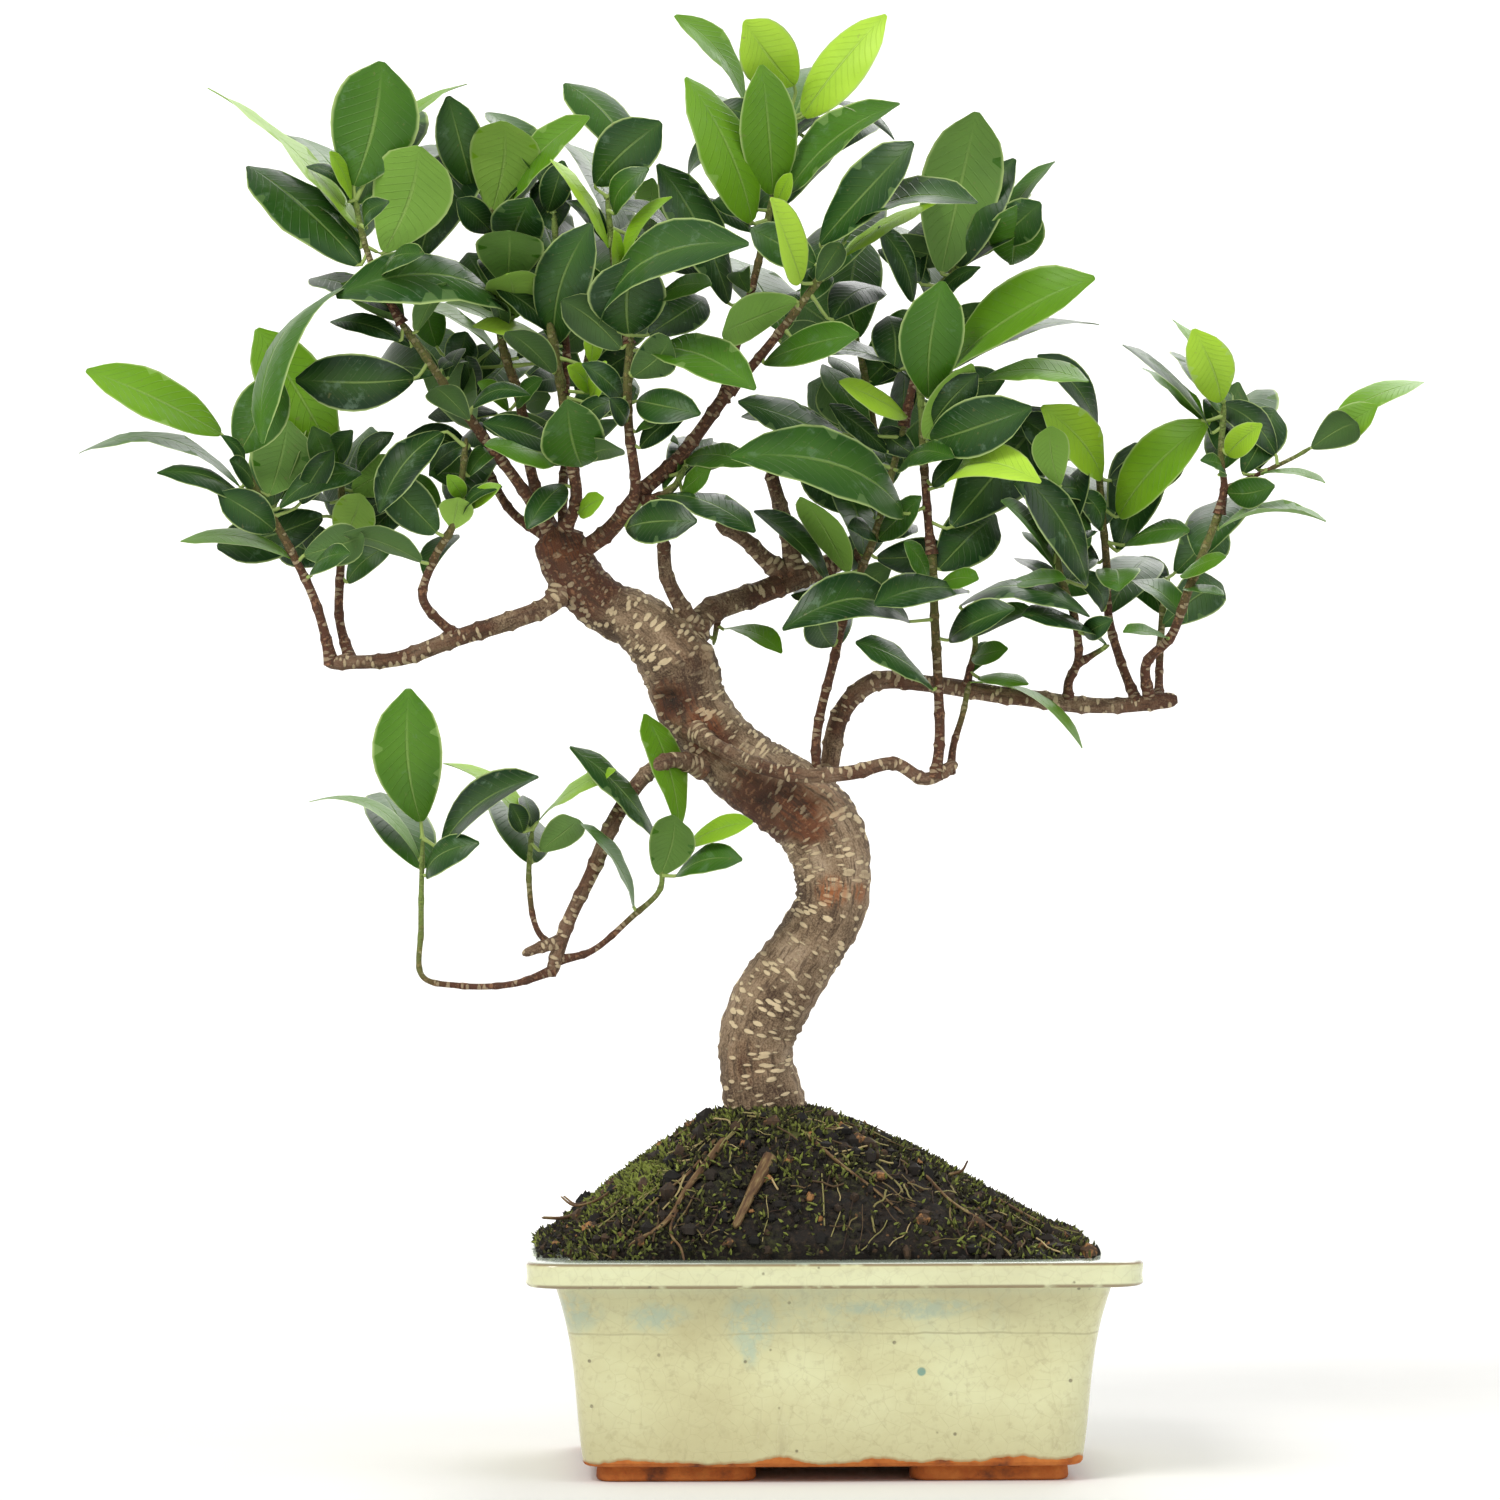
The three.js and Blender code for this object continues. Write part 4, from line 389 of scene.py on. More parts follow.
class Skin:
    # gathers closed skins, each a grid of rings, into one mesh with its own attributes
    def __init__(self):
        self.points, self.faces, self.values, self.count = [], [], {}, 0

    def add(self, rings, **values):
        # rings: (skins, n, m, 3), each ring closed on itself; fans to their middles close the end rings
        rings = np.asarray(rings, float)
        if rings.ndim == 3:
            rings = rings[None]
        skins, n, m, _ = rings.shape
        heads, tails = rings[:, 0].mean(1), rings[:, -1].mean(1)
        per = n * m + 2
        block = np.concatenate([rings.reshape(skins, -1, 3), heads[:, None], tails[:, None]], 1)
        i, j = np.meshgrid(np.arange(n - 1), np.arange(m), indexing="ij")
        k = (j + 1) % m
        quads = np.stack([i * m + j, (i + 1) * m + j, (i + 1) * m + k, i * m + k], -1).reshape(-1, 4)
        around = np.arange(m)
        onward = (around + 1) % m
        first = np.stack([np.full(m, n * m), around, onward], -1)
        last = np.stack([np.full(m, n * m + 1), (n - 1) * m + onward, (n - 1) * m + around], -1)
        starts = self.count + per * np.arange(skins)
        self.faces += (quads[None] + starts[:, None, None]).reshape(-1, 4).tolist()
        self.faces += (first[None] + starts[:, None, None]).reshape(-1, 3).tolist()
        self.faces += (last[None] + starts[:, None, None]).reshape(-1, 3).tolist()
        self.points.append(block.reshape(-1, 3))
        for name, value in values.items():
            value = np.asarray(value, float)
            wide = value.shape[-1] == 3 and value.ndim >= 4
            full = np.broadcast_to(value, (skins, n, m, 3) if wide else (skins, n, m))
            ends = [full[:, 0].mean(1), full[:, -1].mean(1)]
            flat = full.reshape(skins, n * m, *full.shape[3:])
            whole = np.concatenate([flat, ends[0][:, None], ends[1][:, None]], 1)
            self.values.setdefault(name, []).append(whole.reshape(-1, *full.shape[3:]))
        self.count += per * skins

    def piece(self, name, finish, slot, replaces=(), sharp=60):
        mesh = bpy.data.meshes.new(name)
        mesh.from_pydata(np.concatenate(self.points).tolist(), [], self.faces)
        for key, blocks in self.values.items():
            data = np.concatenate(blocks)
            kind = "FLOAT_VECTOR" if data.ndim == 2 else "FLOAT"
            layer = mesh.attributes.new(key, kind, "POINT")
            layer.data.foreach_set("vector" if data.ndim == 2 else "value", data.ravel())
        mesh.shade_smooth()
        mesh.set_sharp_from_angle(angle=np.radians(sharp))
        mesh.materials.append(finish)
        return settle(bpy.data.objects.new(name, mesh), replaces)


def settle(piece, replaces=()):
    bpy.context.scene.collection.objects.link(piece)
    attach(piece, "root")
    if replaces:
        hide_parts(*replaces)
    return piece


# a ring's directions round its middle, from two unit vectors
def spokes(side, over, angle):
    return side * np.cos(angle)[..., None] + over * np.sin(angle)[..., None]


def unit(vectors):
    return vectors / np.maximum(np.linalg.norm(vectors, axis=-1, keepdims=True), 1e-12)


def dot(a, b):
    return (a * b).sum(-1, keepdims=True)


def smoothPath(points, count):
    # a cubic through the points: each stretch is a Hermite curve over the root of its chord
    points = np.asarray(points, float)
    chords = np.linalg.norm(np.diff(points, axis=0), axis=1) ** 0.5
    knots = np.concatenate([[0], np.cumsum(chords)])
    slopes = np.gradient(points, knots, axis=0)
    t = np.linspace(0, knots[-1], count)
    k = np.clip(np.searchsorted(knots, t, side="right") - 1, 0, len(knots) - 2)
    span = (knots[k + 1] - knots[k])[:, None]
    u = ((t - knots[k])[:, None]) / span
    first = (2 * u**3 - 3 * u**2 + 1) * points[k] + (u**3 - 2 * u**2 + u) * span * slopes[k]
    path = first + (-2 * u**3 + 3 * u**2) * points[k + 1] + (u**3 - u**2) * span * slopes[k + 1]
    share = np.interp(t, knots, np.arange(len(knots)))
    return path, share


def tubeRings(path, radii, sides, sway=0.0, seed=0):
    # circles square to the path; the radius swells and shrinks by a few slow waves along and around it
    tangent = unit(np.gradient(path, axis=0))
    side = unit(np.cross(tangent, np.array([0.05, 1.0, 0.1])))
    over = np.cross(side, tangent)
    angle = np.linspace(0, 2 * np.pi, sides, endpoint=False)
    length = np.concatenate([[0], np.cumsum(np.linalg.norm(np.diff(path, axis=0), axis=1))])
    turn, s = angle[None, :], length[:, None] / mm
    wave = np.sin(2 * turn + s * 0.11 + seed) + 0.6 * np.sin(3 * turn - s * 0.17 + 2 * seed)
    wave = wave + 0.5 * np.sin(5 * turn + 0.29 * s + seed) + 0.7 * np.sin(0.21 * s + seed)
    radius = np.asarray(radii)[:, None] * (1 + sway * wave)
    rings = path[:, None] + spokes(side[:, None], over[:, None], turn) * radius[..., None]
    mean = np.mean(radii)
    skinPlace = np.stack(np.broadcast_arrays(mean * np.cos(turn), mean * np.sin(turn), length[:, None]), -1)
    return rings, skinPlace[None], length


print("tools ready")

barkStyle = {"grey": (0.26, 0.178, 0.104), "dark": (0.055, 0.028, 0.014), "pale": (0.70, 0.56, 0.35),
             "warm": (0.088, 0.026, 0.010), "rust": (0.36, 0.10, 0.02), "young": (0.20, 0.30, 0.06)}


def makeBark():
    # grey-brown with short pale dashes across and fine cracks along; red-brown and flaky on the crown wood and
    # stems, its own colour, and the same red-brown as painted shade in the crotch and on the concave sides
    # below it; near-black painted shade in the hollows; green where young
    f = Finish("figBark")
    skin = f.attribute("skinPlace", "Vector")
    patches = f.noise(f.stretched(skin, (75, 75, 45)), 1, 5, 0.6)
    cracks = f.noise(f.stretched(skin, (900, 900, 150)), 1, 5, 0.65)
    wander = f.noise(skin, 120, 3)
    ovals = f.cells(f.stretched(skin, (215, 215, 560)), 1)
    bands = f.noise(f.stretched(skin, (35, 35, 90)), 1, 3)
    grain = f.noise(skin, 1800, 4, 0.6)
    shade = f.ramp(patches + (grain - 0.5) * 0.7, (0.34, barkStyle["dark"]), (0.52, barkStyle["grey"]),
                   (0.76, (0.46, 0.35, 0.24)))
    # the red-brown mask: the crown wood's and stems' own red-brown, and red-brown painted shade in the crotch
    # and on the concave sides below it
    warm = f.attribute("warm")
    redBrownAndShadeMask = warm + (f.noise(skin, 60, 4) - 0.5) * 1.2
    shade = f.mix(f.step(redBrownAndShadeMask, 0.22, 0.62) * 0.92, shade, barkStyle["warm"])
    scales = f.noise(f.stretched(skin, (520, 520, 760)), 1, 3, 0.6)
    flakes = f.step(scales, 0.52, 0.60) * f.step(redBrownAndShadeMask, 0.3, 0.7)
    shade = f.mix(flakes * 0.6, shade, (0.34, 0.17, 0.085))
    shade = f.mix(f.step(cracks, 0.50, 0.38) * 0.7, shade, barkStyle["dark"])
    dash = f.step(ovals + (wander - 0.5) * 0.8 + (grain - 0.5) * 0.25, 0.40, 0.31) * f.step(bands, 0.34, 0.50)
    shade = f.mix(dash * (0.95 - 0.6 * warm), shade, barkStyle["pale"])
    shade = f.mix(f.attribute("rust") * f.step(cracks, 0.4, 0.55), shade, barkStyle["rust"])
    # painted shade: near black laid into the hollows of the marks
    shade = f.mix(f.attribute("scar") * f.step(grain, 0.2, 0.5), shade, (0.012, 0.008, 0.006))
    shade = f.mix(f.attribute("young") * f.step(grain, 0.15, 0.5), shade, barkStyle["young"])
    height = cracks * 0.5 + dash * 0.55 + grain * 0.35 + patches * 0.3 + flakes * 0.4
    return f.surface(Base_Color=shade, Roughness=0.72 + 0.2 * grain, Normal=f.bump(height, 0.0011, 1.0))


bark = makeBark()

# in mm: route (x, z, y, radius); roots (direction in degrees, reach, drop); marks (x, z, y, radius, depth,
# how much near-black painted shade fills the hollow, how rusty); red-brown spots (x, z, y, radius, how
# red-brown), the crown wood's own colour, and painted shade round the fork
trunkStyle = {
    "rings": 240, "sides": 56, "rootRings": 26, "rootSides": 20, "ridge": 0.28,
    "route": [[-19, 90, 0, 17], [-19, 104, 0, 15.5], [-19.5, 113, 0, 13.5], [-22, 127, -1, 12],
              [-21.8, 137, -2, 12.2], [-18, 147, -3, 12.3], [-4.5, 167, -3, 11.7], [1, 177, -3, 11.5],
              [2.2, 187, -2, 12.2], [1, 197, -1, 12.8], [-4, 206, 0, 13], [-13, 213.5, 1, 13.5],
              [-25, 222, 2, 12.5], [-35, 231, 2, 11.5], [-43, 243, 2, 11.2], [-48, 256, 1, 12.2],
              [-60, 269, 0, 9.6], [-70, 274, 0, 8.7], [-78, 281, -1, 8.5], [-84, 291, -1, 8.5],
              [-87, 300, -1, 7.5]],
    "roots": [[200, 34, 26], [262, 30, 24], [325, 36, 26], [35, 34, 28], [110, 32, 28], [172, 30, 20],
              [290, 30, 22]],
    "marks": [[-6, 208, -13, 8, -0.8, 0.1, 0.3], [-50, 243, -9, 6.5, -2.2, 0.95, 0.3],
              [-84, 296, -8, 6, -0.4, 0.6, 0.5], [8, 183, -8, 4, -0.5, 0.1, 1.0],
              [2, 183, -14, 4, -0.3, 0.1, 0.9], [-40, 236, -12, 6, 1.0, 0, 0.4],
              [-12, 160, -14, 5, 0.7, 0, 0], [-26, 128, -12, 6, 0.8, 0, 0.1], [0, 212, -12, 6, 1.2, 0, 0.3],
              [-20, 212, -12, 5, -1.2, 0.7, 0], [-12, 216, -12, 4, -0.9, 0.6, 0],
              [-2, 205, -13, 5, 0.9, 0, 0.2], [-44, 262, -6, 7, 1.2, 0.1, 0.1],
              [-34, 258, -3, 5, 1.5, 0, 0], [-28, 224, -10, 4, 1.0, 0.2, 0.3]],
    # red-brown spots: those round the fork are painted shade in the crotch and below it; those on the upper
    # trunk are its own dark red-brown
    "warm": [[-20, 208, -12, 14, 1.1], [-8, 206, -14, 9, 0.9], [-38, 232, -11, 9, 0.9],
             [-86, 300, 0, 20, 1.2], [-77, 283, -2, 14, 1.1], [-64, 272, 0, 9, 0.7], [-50, 243, -8, 8, 0.8],
             [-20, 106, -8, 8, 0.6], [6, 184, -6, 4, 0.6], [-7, 150, -8, 7, 0.45]]}


def makeTrunk():
    skin = Skin()
    route, sides = np.array(trunkStyle["route"], float), trunkStyle["sides"]
    path, share = smoothPath(place(route[:, :3]), trunkStyle["rings"])
    radii = np.interp(share, np.arange(len(route)), route[:, 3]) * mm
    radii[-6:] *= np.sqrt(np.linspace(1, 0.02, 6))
    rings, skinPlace, length = tubeRings(path, radii, sides, 0.022, 1.3)
    outward = unit(rings - path[:, None])
    scar, rust = np.zeros(rings.shape[:2]), np.zeros(rings.shape[:2])
    # dark is how much near-black painted shade fills a mark's hollow
    for x, z, y, radius, depth, dark, red in trunkStyle["marks"]:
        far = np.linalg.norm(rings - place([x, z, y]), axis=-1) / (radius * mm)
        dome = np.exp(-far**2 * 1.5)
        rim = np.exp(-((far - 1) / 0.25) ** 2)
        rings = rings + outward * ((dome * depth + rim * 0.35 * abs(depth)) * mm)[..., None]
        scar, rust = np.maximum(scar, dome * dark), np.maximum(rust, (dome + 0.5 * rim) * red)
    warm = np.zeros_like(scar)
    for x, z, y, radius, much in trunkStyle["warm"]:
        far = np.linalg.norm(rings - place([x, z, y]), axis=-1) / (radius * mm)
        warm = np.maximum(warm, much * np.exp(-far**2 * 0.8))
    # low ridges round the trunk, about 3 mm apart
    s, turn = length[:, None] / mm, np.linspace(0, 2 * np.pi, sides, endpoint=False)[None, :]
    ridges = np.sin(s * 1.9 + 2 * np.sin(2 * turn + s * 0.3)) * (0.6 + 0.4 * np.sin(3 * turn + s * 0.2))
    ridges = ridges + 0.7 * np.sin(s * 0.9 + 3 * turn + 1.5 * np.sin(turn - s * 0.11))
    rings = rings + outward * (trunkStyle["ridge"] * mm * ridges)[..., None]
    skin.add(rings, skinPlace=skinPlace, warm=warm, rust=np.minimum(rust, 1), scar=scar, young=0 * scar)
    foot, count = place([-20, 106, 0]), trunkStyle["rootRings"]
    for number, (degrees, reach, drop) in enumerate(trunkStyle["roots"]):
        angle = np.radians(degrees)
        away = np.array([np.cos(angle), np.sin(angle) * 0.8, 0]) * mm
        down = np.array([0, 0, -drop]) * mm
        points = [foot, foot + away * reach * 0.35 + down * 0.05, foot + away * reach * 0.7 + down * 0.45,
                  foot + away * reach + down]
        path, _ = smoothPath(points, count)
        radii = np.linspace(8, 2, count) * mm
        rings, skinPlace, _ = tubeRings(path, radii, trunkStyle["rootSides"], 0.04, number)
        flat = np.zeros(rings.shape[:2])
        skin.add(rings, skinPlace=skinPlace, warm=flat + 0.15, rust=flat, scar=flat, young=flat)
    skin.piece("trunk_bark", bark, "bark", ["trunk"])


def makeStems(name, layout, replaces, sides, young, warm):
    # every stem swells into a collar where it leaves its parent, and its end is rounded off
    skin = Skin()
    for number, points in enumerate(layout["paths"]):
        share = 1 if number == 0 else 0.65
        places = place(points)
        reach = np.linalg.norm(np.diff(places, axis=0), axis=1).sum()
        count = int(np.clip(reach / (1.1 * mm), 16, 170))
        path, _ = smoothPath(places, count)
        radii = np.linspace(layout["girth"][0], layout["girth"][1], count) * share * mm
        away = np.linspace(0, reach, count)
        radii = radii * (1 + 0.7 * np.exp(-away / (5 * mm)))
        nodes = np.maximum(0, np.sin(away / mm * 0.62 + number + len(name))) ** 6
        radii = radii * (1 + 0.2 * nodes)
        radii[-3:] *= [0.95, 0.8, 0.45]
        rings, skinPlace, _ = tubeRings(path, radii, sides, 0.035, number + len(name))
        flat = np.zeros(rings.shape[:2])
        fresh = young * np.clip(np.linspace(-1.1, 1.5, count), 0, 1)[:, None] + flat
        skin.add(rings, skinPlace=skinPlace, warm=flat + warm, rust=flat, scar=flat, young=fresh)
    skin.piece(name, bark, "bark", replaces)


makeTrunk()
for name, branch in branches.items():
    makeStems(name + "_bark", branch, [name], 16, 0, 0.85 if name == "branch_crown" else 0.42)
print("wood done")

# shape is a blade's usual width as a share of its length; stems that end above innerFrom, in mm, get small
# inner leaves
leafStyle = {"shape": 0.42, "thick": 0.38 * mm, "stations": 16, "fullness": 0.60, "innerFrom": 312}
across = np.array([-1, -0.5, 0, 0.5, 1, 0.5, 0, -0.5])  # round the blade: over the top, back under it
under = np.array([0.5, 0, 0, 0, 0.5, 1, 1, 1])


def leafFrames(rows):
    # a blade's heel, its axes, length and width: a blade is turned edge-on until it shows its row's width
    rows = np.asarray(rows, float)
    base, tip = place(rows[:, :3]), place(rows[:, 3:6])
    along = tip - base
    length = np.linalg.norm(along, axis=1, keepdims=True)
    along = along / length
    shown = rows[:, 6:7] * mm
    width = np.maximum(np.abs(shown), leafStyle["shape"] * length)
    turn = np.arccos(np.abs(shown) / width)
    front = unit(np.array([0, -1.0, 0]) + along * along[:, 1:2])
    up = np.cross(along, front)
    up = np.where(up[:, 2:3] < 0, -up, up)
    normal = front * np.sign(shown) * np.cos(turn) + up * np.sin(turn)
    return base, along, normal, np.cross(normal, along), length, width, rows[:, 7:8] * mm, rows[:, 8:9]


def bladeRings(frames, rng):
    # half width = width/2 * sin(pi * u^widest)^fullness, drawn out at the tip; the blade folds up from its
    # midrib, its margins curl and wave, it bows by its bend, twists and droops at the tip
    base, along, normal, side, length, width, bend = [part[:, None, None] for part in frames[:7]]
    count = len(base)
    u = (0.505 - 0.49 * np.cos(np.linspace(0, np.pi, leafStyle["stations"])))[None, :, None, None]
    v = across[None, None, :, None]
    loose = lambda low, high: rng.uniform(low, high, (count, 1, 1, 1))
    widest, fold, curl, twist = loose(1.0, 1.3), loose(0.12, 0.34), loose(0.0, 0.22), loose(-0.45, 0.45)
    wave, droop, lean = loose(0.0, 0.06), loose(-0.02, 0.07), loose(-0.06, 0.06)
    half = width * 0.53 * np.sin(np.pi * u**widest) ** leafStyle["fullness"]
    late = np.clip((u - 0.84) / 0.16, 0, 1)
    half = half * (1 - 0.42 * late**2 * (3 - 2 * late)) + 0.3 * mm
    turn = twist * (u - 0.45)
    sideways = side * np.cos(turn) + normal * np.sin(turn)
    upward = normal * np.cos(turn) - side * np.sin(turn)
    size = np.abs(v)
    ripple = wave * np.sin(u * 17 + v * 2 + loose(0, 6)) * size
    rise = half * (fold * size - curl * size**2 * 1.6 + ripple)
    shell = leafStyle["thick"] * (1 - size**2) * np.where(under > 0.5, -0.5, 0.5)[None, None, :, None]
    spine = base + along * length * u + normal * (4 * bend * u * (1 - u) - length * droop * u**3)
    spine = spine + side * length * lean * np.sin(np.pi * u)
    rings = spine + sideways * half * v + upward * (rise + shell)
    blade = np.concatenate(np.broadcast_arrays(u, v, under[None, None, :, None] + 0 * u), -1)
    return rings, np.broadcast_to(blade, rings.shape)


def stalkRings(roots, frames):
    # a stalk is a curve from the stem to the blade's heel, leaving the stem outward and meeting the midrib
    base, along, side = frames[0], frames[1], frames[3]
    gap = np.linalg.norm(base - roots, axis=1, keepdims=True)
    leave = unit(base - roots + along * 2 * mm) * gap
    t = np.linspace(0, 1, 5)[None, :, None]
    h = [part[:, None] for part in (roots, leave, base + along * 0.4 * mm, along * gap)]
    path = (2*t**3 - 3*t**2 + 1) * h[0] + (t**3 - 2*t**2 + t) * h[1]
    path = path + (-2*t**3 + 3*t**2) * h[2] + (t**3 - t**2) * h[3]
    tangent = unit(np.gradient(path, axis=1))
    sideways = unit(side[:, None] - tangent * dot(side[:, None], tangent) + 1e-9)
    over = np.cross(tangent, sideways)
    angle = np.pi * np.array([1, 0.75, 0.5, 0.25, 0, -0.25, -0.5, -0.75])
    ring = spokes(sideways[:, :, None], over[:, :, None], angle)
    radius = np.interp(t[0, :, 0], [0, 0.2, 1], [1.0, 0.62, 0.55])[None, :, None, None] * mm
    return path[:, :, None] + ring * radius


def makeLeafFinish():
    f = Finish("figLeaf")
    blade = f.attribute("blade", "Vector")
    u, v, below = (f.split(blade, axis) for axis in "XYZ")
    tint, seed = f.attribute("tint"), f.attribute("seed")
    where = f.place()
    mottle = f.noise(where, 55, 4)
    speck = f.noise(where, 420, 3)
    age = tint + (mottle - 0.5) * 0.16 + (seed - 0.5) * 0.06
    top = f.ramp(age, (0.0, (0.006, 0.024, 0.008)), (0.3, (0.014, 0.055, 0.011)),
                 (0.5, (0.046, 0.145, 0.007)), (0.72, (0.145, 0.33, 0.009)), (0.88, (0.33, 0.56, 0.028)),
                 (1.0, (0.50, 0.78, 0.07)))
    bottom = f.ramp(age, (0.0, (0.035, 0.075, 0.025)), (0.4, (0.085, 0.17, 0.045)),
                    (0.7, (0.20, 0.38, 0.055)), (1.0, (0.46, 0.70, 0.12)))
    isUnder = f.step(below, 0.49, 0.51)
    shade = f.mix(isUnder, top, bottom)
    reach = v.size()
    slant = (u + reach * 0.2) * 88
    veins = f.step(slant.sin(), 0.86, 1.0) * f.step(reach, 0.98, 0.6)
    shade = f.mix(veins * 0.05, shade, (0.30, 0.42, 0.12))
    midrib = f.step(reach, 0.06, 0.02) * f.step(u, 1.0, 0.45)
    shade = f.mix(midrib * 0.38, shade, (0.36, 0.50, 0.15))
    shade = f.mix(f.step(reach, 0.90, 0.99) * 0.8, shade, (0.42, 0.55, 0.20))
    shade = f.mix(f.step(reach, 0.9, 0.0) * 0.16, shade, (0.16, 0.34, 0.05))
    scuff = f.step(f.noise(where, 150, 6, 0.7), 0.55, 0.68) * (1 - isUnder) * (1 - tint)
    shade = f.mix(scuff * 0.34, shade, (0.20, 0.31, 0.21))
    shade = f.mix(f.step(speck, 0.66, 0.75) * 0.35, shade, (0.20, 0.18, 0.07))
    stalk = f.step(u, 0.02, 0.0)
    shade = f.mix(stalk, shade, (0.33, 0.44, 0.12))
    rough = 0.24 + 0.20 * scuff + 0.26 * isUnder + 0.10 * mottle + 0.16 * tint
    height = mottle * 0.5 - midrib * 1.0 + veins * 0.35 + speck * 0.1
    return f.surface(Base_Color=shade, Roughness=rough, Specular_IOR_Level=0.27,
                     Normal=f.bump(height, 0.0005, 0.7))


leafFinish = makeLeafFinish()


def innerLeaves(paths, rng):
    # small dark leaves inside the crown, round the upper part of every stem: rows as in the layout
    rows = []
    for points in paths:
        path, _ = smoothPath(np.asarray(points, float), 30)
        if path[-1, 1] < leafStyle["innerFrom"]:
            continue
        reach = np.linalg.norm(path[-1] - path[0])
        for share in np.arange(0.40, 0.98, 7.5 / max(reach, 8)):
            x, z, y = path[int(share * 29)]
            turn, size = rng.uniform(0, 2 * np.pi), rng.uniform(15, 29)
            dx, dy, dz = np.cos(turn), np.sin(turn), rng.uniform(0.1, 1.0)
            out = np.array([dx, dz, dy]) / np.hypot(1, dz)
            heel = np.array([x, z, y]) + out * 3.5
            tip = heel + out * size
            shown = size * rng.uniform(0.2, 0.5) * rng.choice([1, 1, -1])
            rows.append([*heel, *tip, shown, rng.uniform(1, 4), rng.uniform(0.02, 0.42)])
    return rows


def makeShoot(name, layout, number):
    rng = np.random.default_rng(100 + number)
    frames = leafFrames(layout["leaves"] + innerLeaves(layout["paths"], rng))
    base, along = frames[0], frames[1]
    stems = np.concatenate([smoothPath(place(points), 40)[0] for points in layout["paths"]])
    far = np.linalg.norm(stems[None] - (base + along * 4 * mm)[:, None], axis=-1)
    stalkRoots = stems[far.argmin(1)]
    rings, blade = bladeRings(frames, rng)
    stalks = stalkRings(stalkRoots, frames)
    stalkPlace = np.broadcast_to(np.array([-0.05, 0, 0.0]), stalks.shape)
    rings = np.concatenate([stalks, rings], 1)
    blade = np.concatenate([stalkPlace, blade], 1)
    tint = np.broadcast_to(frames[7][:, None], rings.shape[:3])
    seed = np.broadcast_to(rng.uniform(0, 1, (len(base), 1, 1)), rings.shape[:3])
    skin = Skin()
    skin.add(rings, blade=blade, tint=tint, seed=seed)
    skin.piece(name + "_leaves", leafFinish, "leaf", [name], 75)
    young = 0.9 if layout["girth"][0] < 1.5 else 0.45
    makeStems(name + "_stems", layout, [], 8, young, 0.8)
    return len(base)


leafCount = sum(makeShoot(name, layout, number) for number, (name, layout) in enumerate(shoots.items()))
print("leaves done:", leafCount)

# in mm; pools of bluish glaze on the front are x, z, half width and half height
potStyle = {"rimBand": 8, "overhang": 9, "bottomInset": 18, "corner": 11, "rimRound": 1.6, "wall": 6,
            "floor": 5, "bow": 1.5, "footHeight": 5, "footLength": 50, "footWidth": 12, "footInset": 4,
            "drain": 8, "drainGap": 78,
            "pools": [[-82, 53, 9, 6], [-56, 52, 9, 5], [-26, 50, 9, 9], [-26, 43, 4, 7], [20, 55, 26, 3]]}
potLength, potWidth = potHigh[0] - potLow[0], potHigh[1] - potLow[1] - 2 * potStyle["bow"] * mm
potHeight = potHigh[2] - potLow[2]
underRim = potHeight - potStyle["rimBand"] * mm
footTop = potStyle["footHeight"] * mm


def roundedRings(halfLengths, halfWidths, corners, heights, bows, steps=14, straight=24):
    # rounded rectangles, one per row: quarter circles at the corners and bowed straights between them
    rows = [np.asarray(a, float)[:, None] for a in (halfLengths, halfWidths, corners, heights, bows)]
    length, width, corner, height, bow = rows
    angle, ax, ay = [], [], []
    for quarter in range(4):
        sx, sy = [(1, 1), (-1, 1), (-1, -1), (1, -1)][quarter]
        turn = np.linspace(quarter, quarter + 1, steps) * np.pi / 2
        angle.append(turn)
        ax.append(np.full(steps, sx))
        ay.append(np.full(steps, sy))
        nextX, nextY = [(-1, 1), (-1, -1), (1, -1), (1, 1)][quarter]
        share = np.linspace(0, 1, straight + 2)[1:-1]
        angle.append(np.full(straight, (quarter + 1) * np.pi / 2))
        ax.append(sx + (nextX - sx) * share)
        ay.append(sy + (nextY - sy) * share)
    angle, ax, ay = (np.concatenate(part)[None, :] for part in (angle, ax, ay))
    x = ax * (length - corner) + corner * np.cos(angle)
    y = ay * (width - corner) + corner * np.sin(angle)
    y = y + np.sign(ay) * (np.abs(ay) == 1) * bow * np.cos(np.clip(ax, -1, 1) * np.pi / 2)
    return np.stack([x + potCentre[0], y + potCentre[1], height + 0 * x], -1)


def wallInset(z):
    share = np.clip((z - footTop) / (underRim - footTop), 0, 1)
    flare = potStyle["overhang"] + (potStyle["bottomInset"] - potStyle["overhang"]) * (1 - share)
    return (flare + 3 * np.sin(share * np.pi) * share) * mm


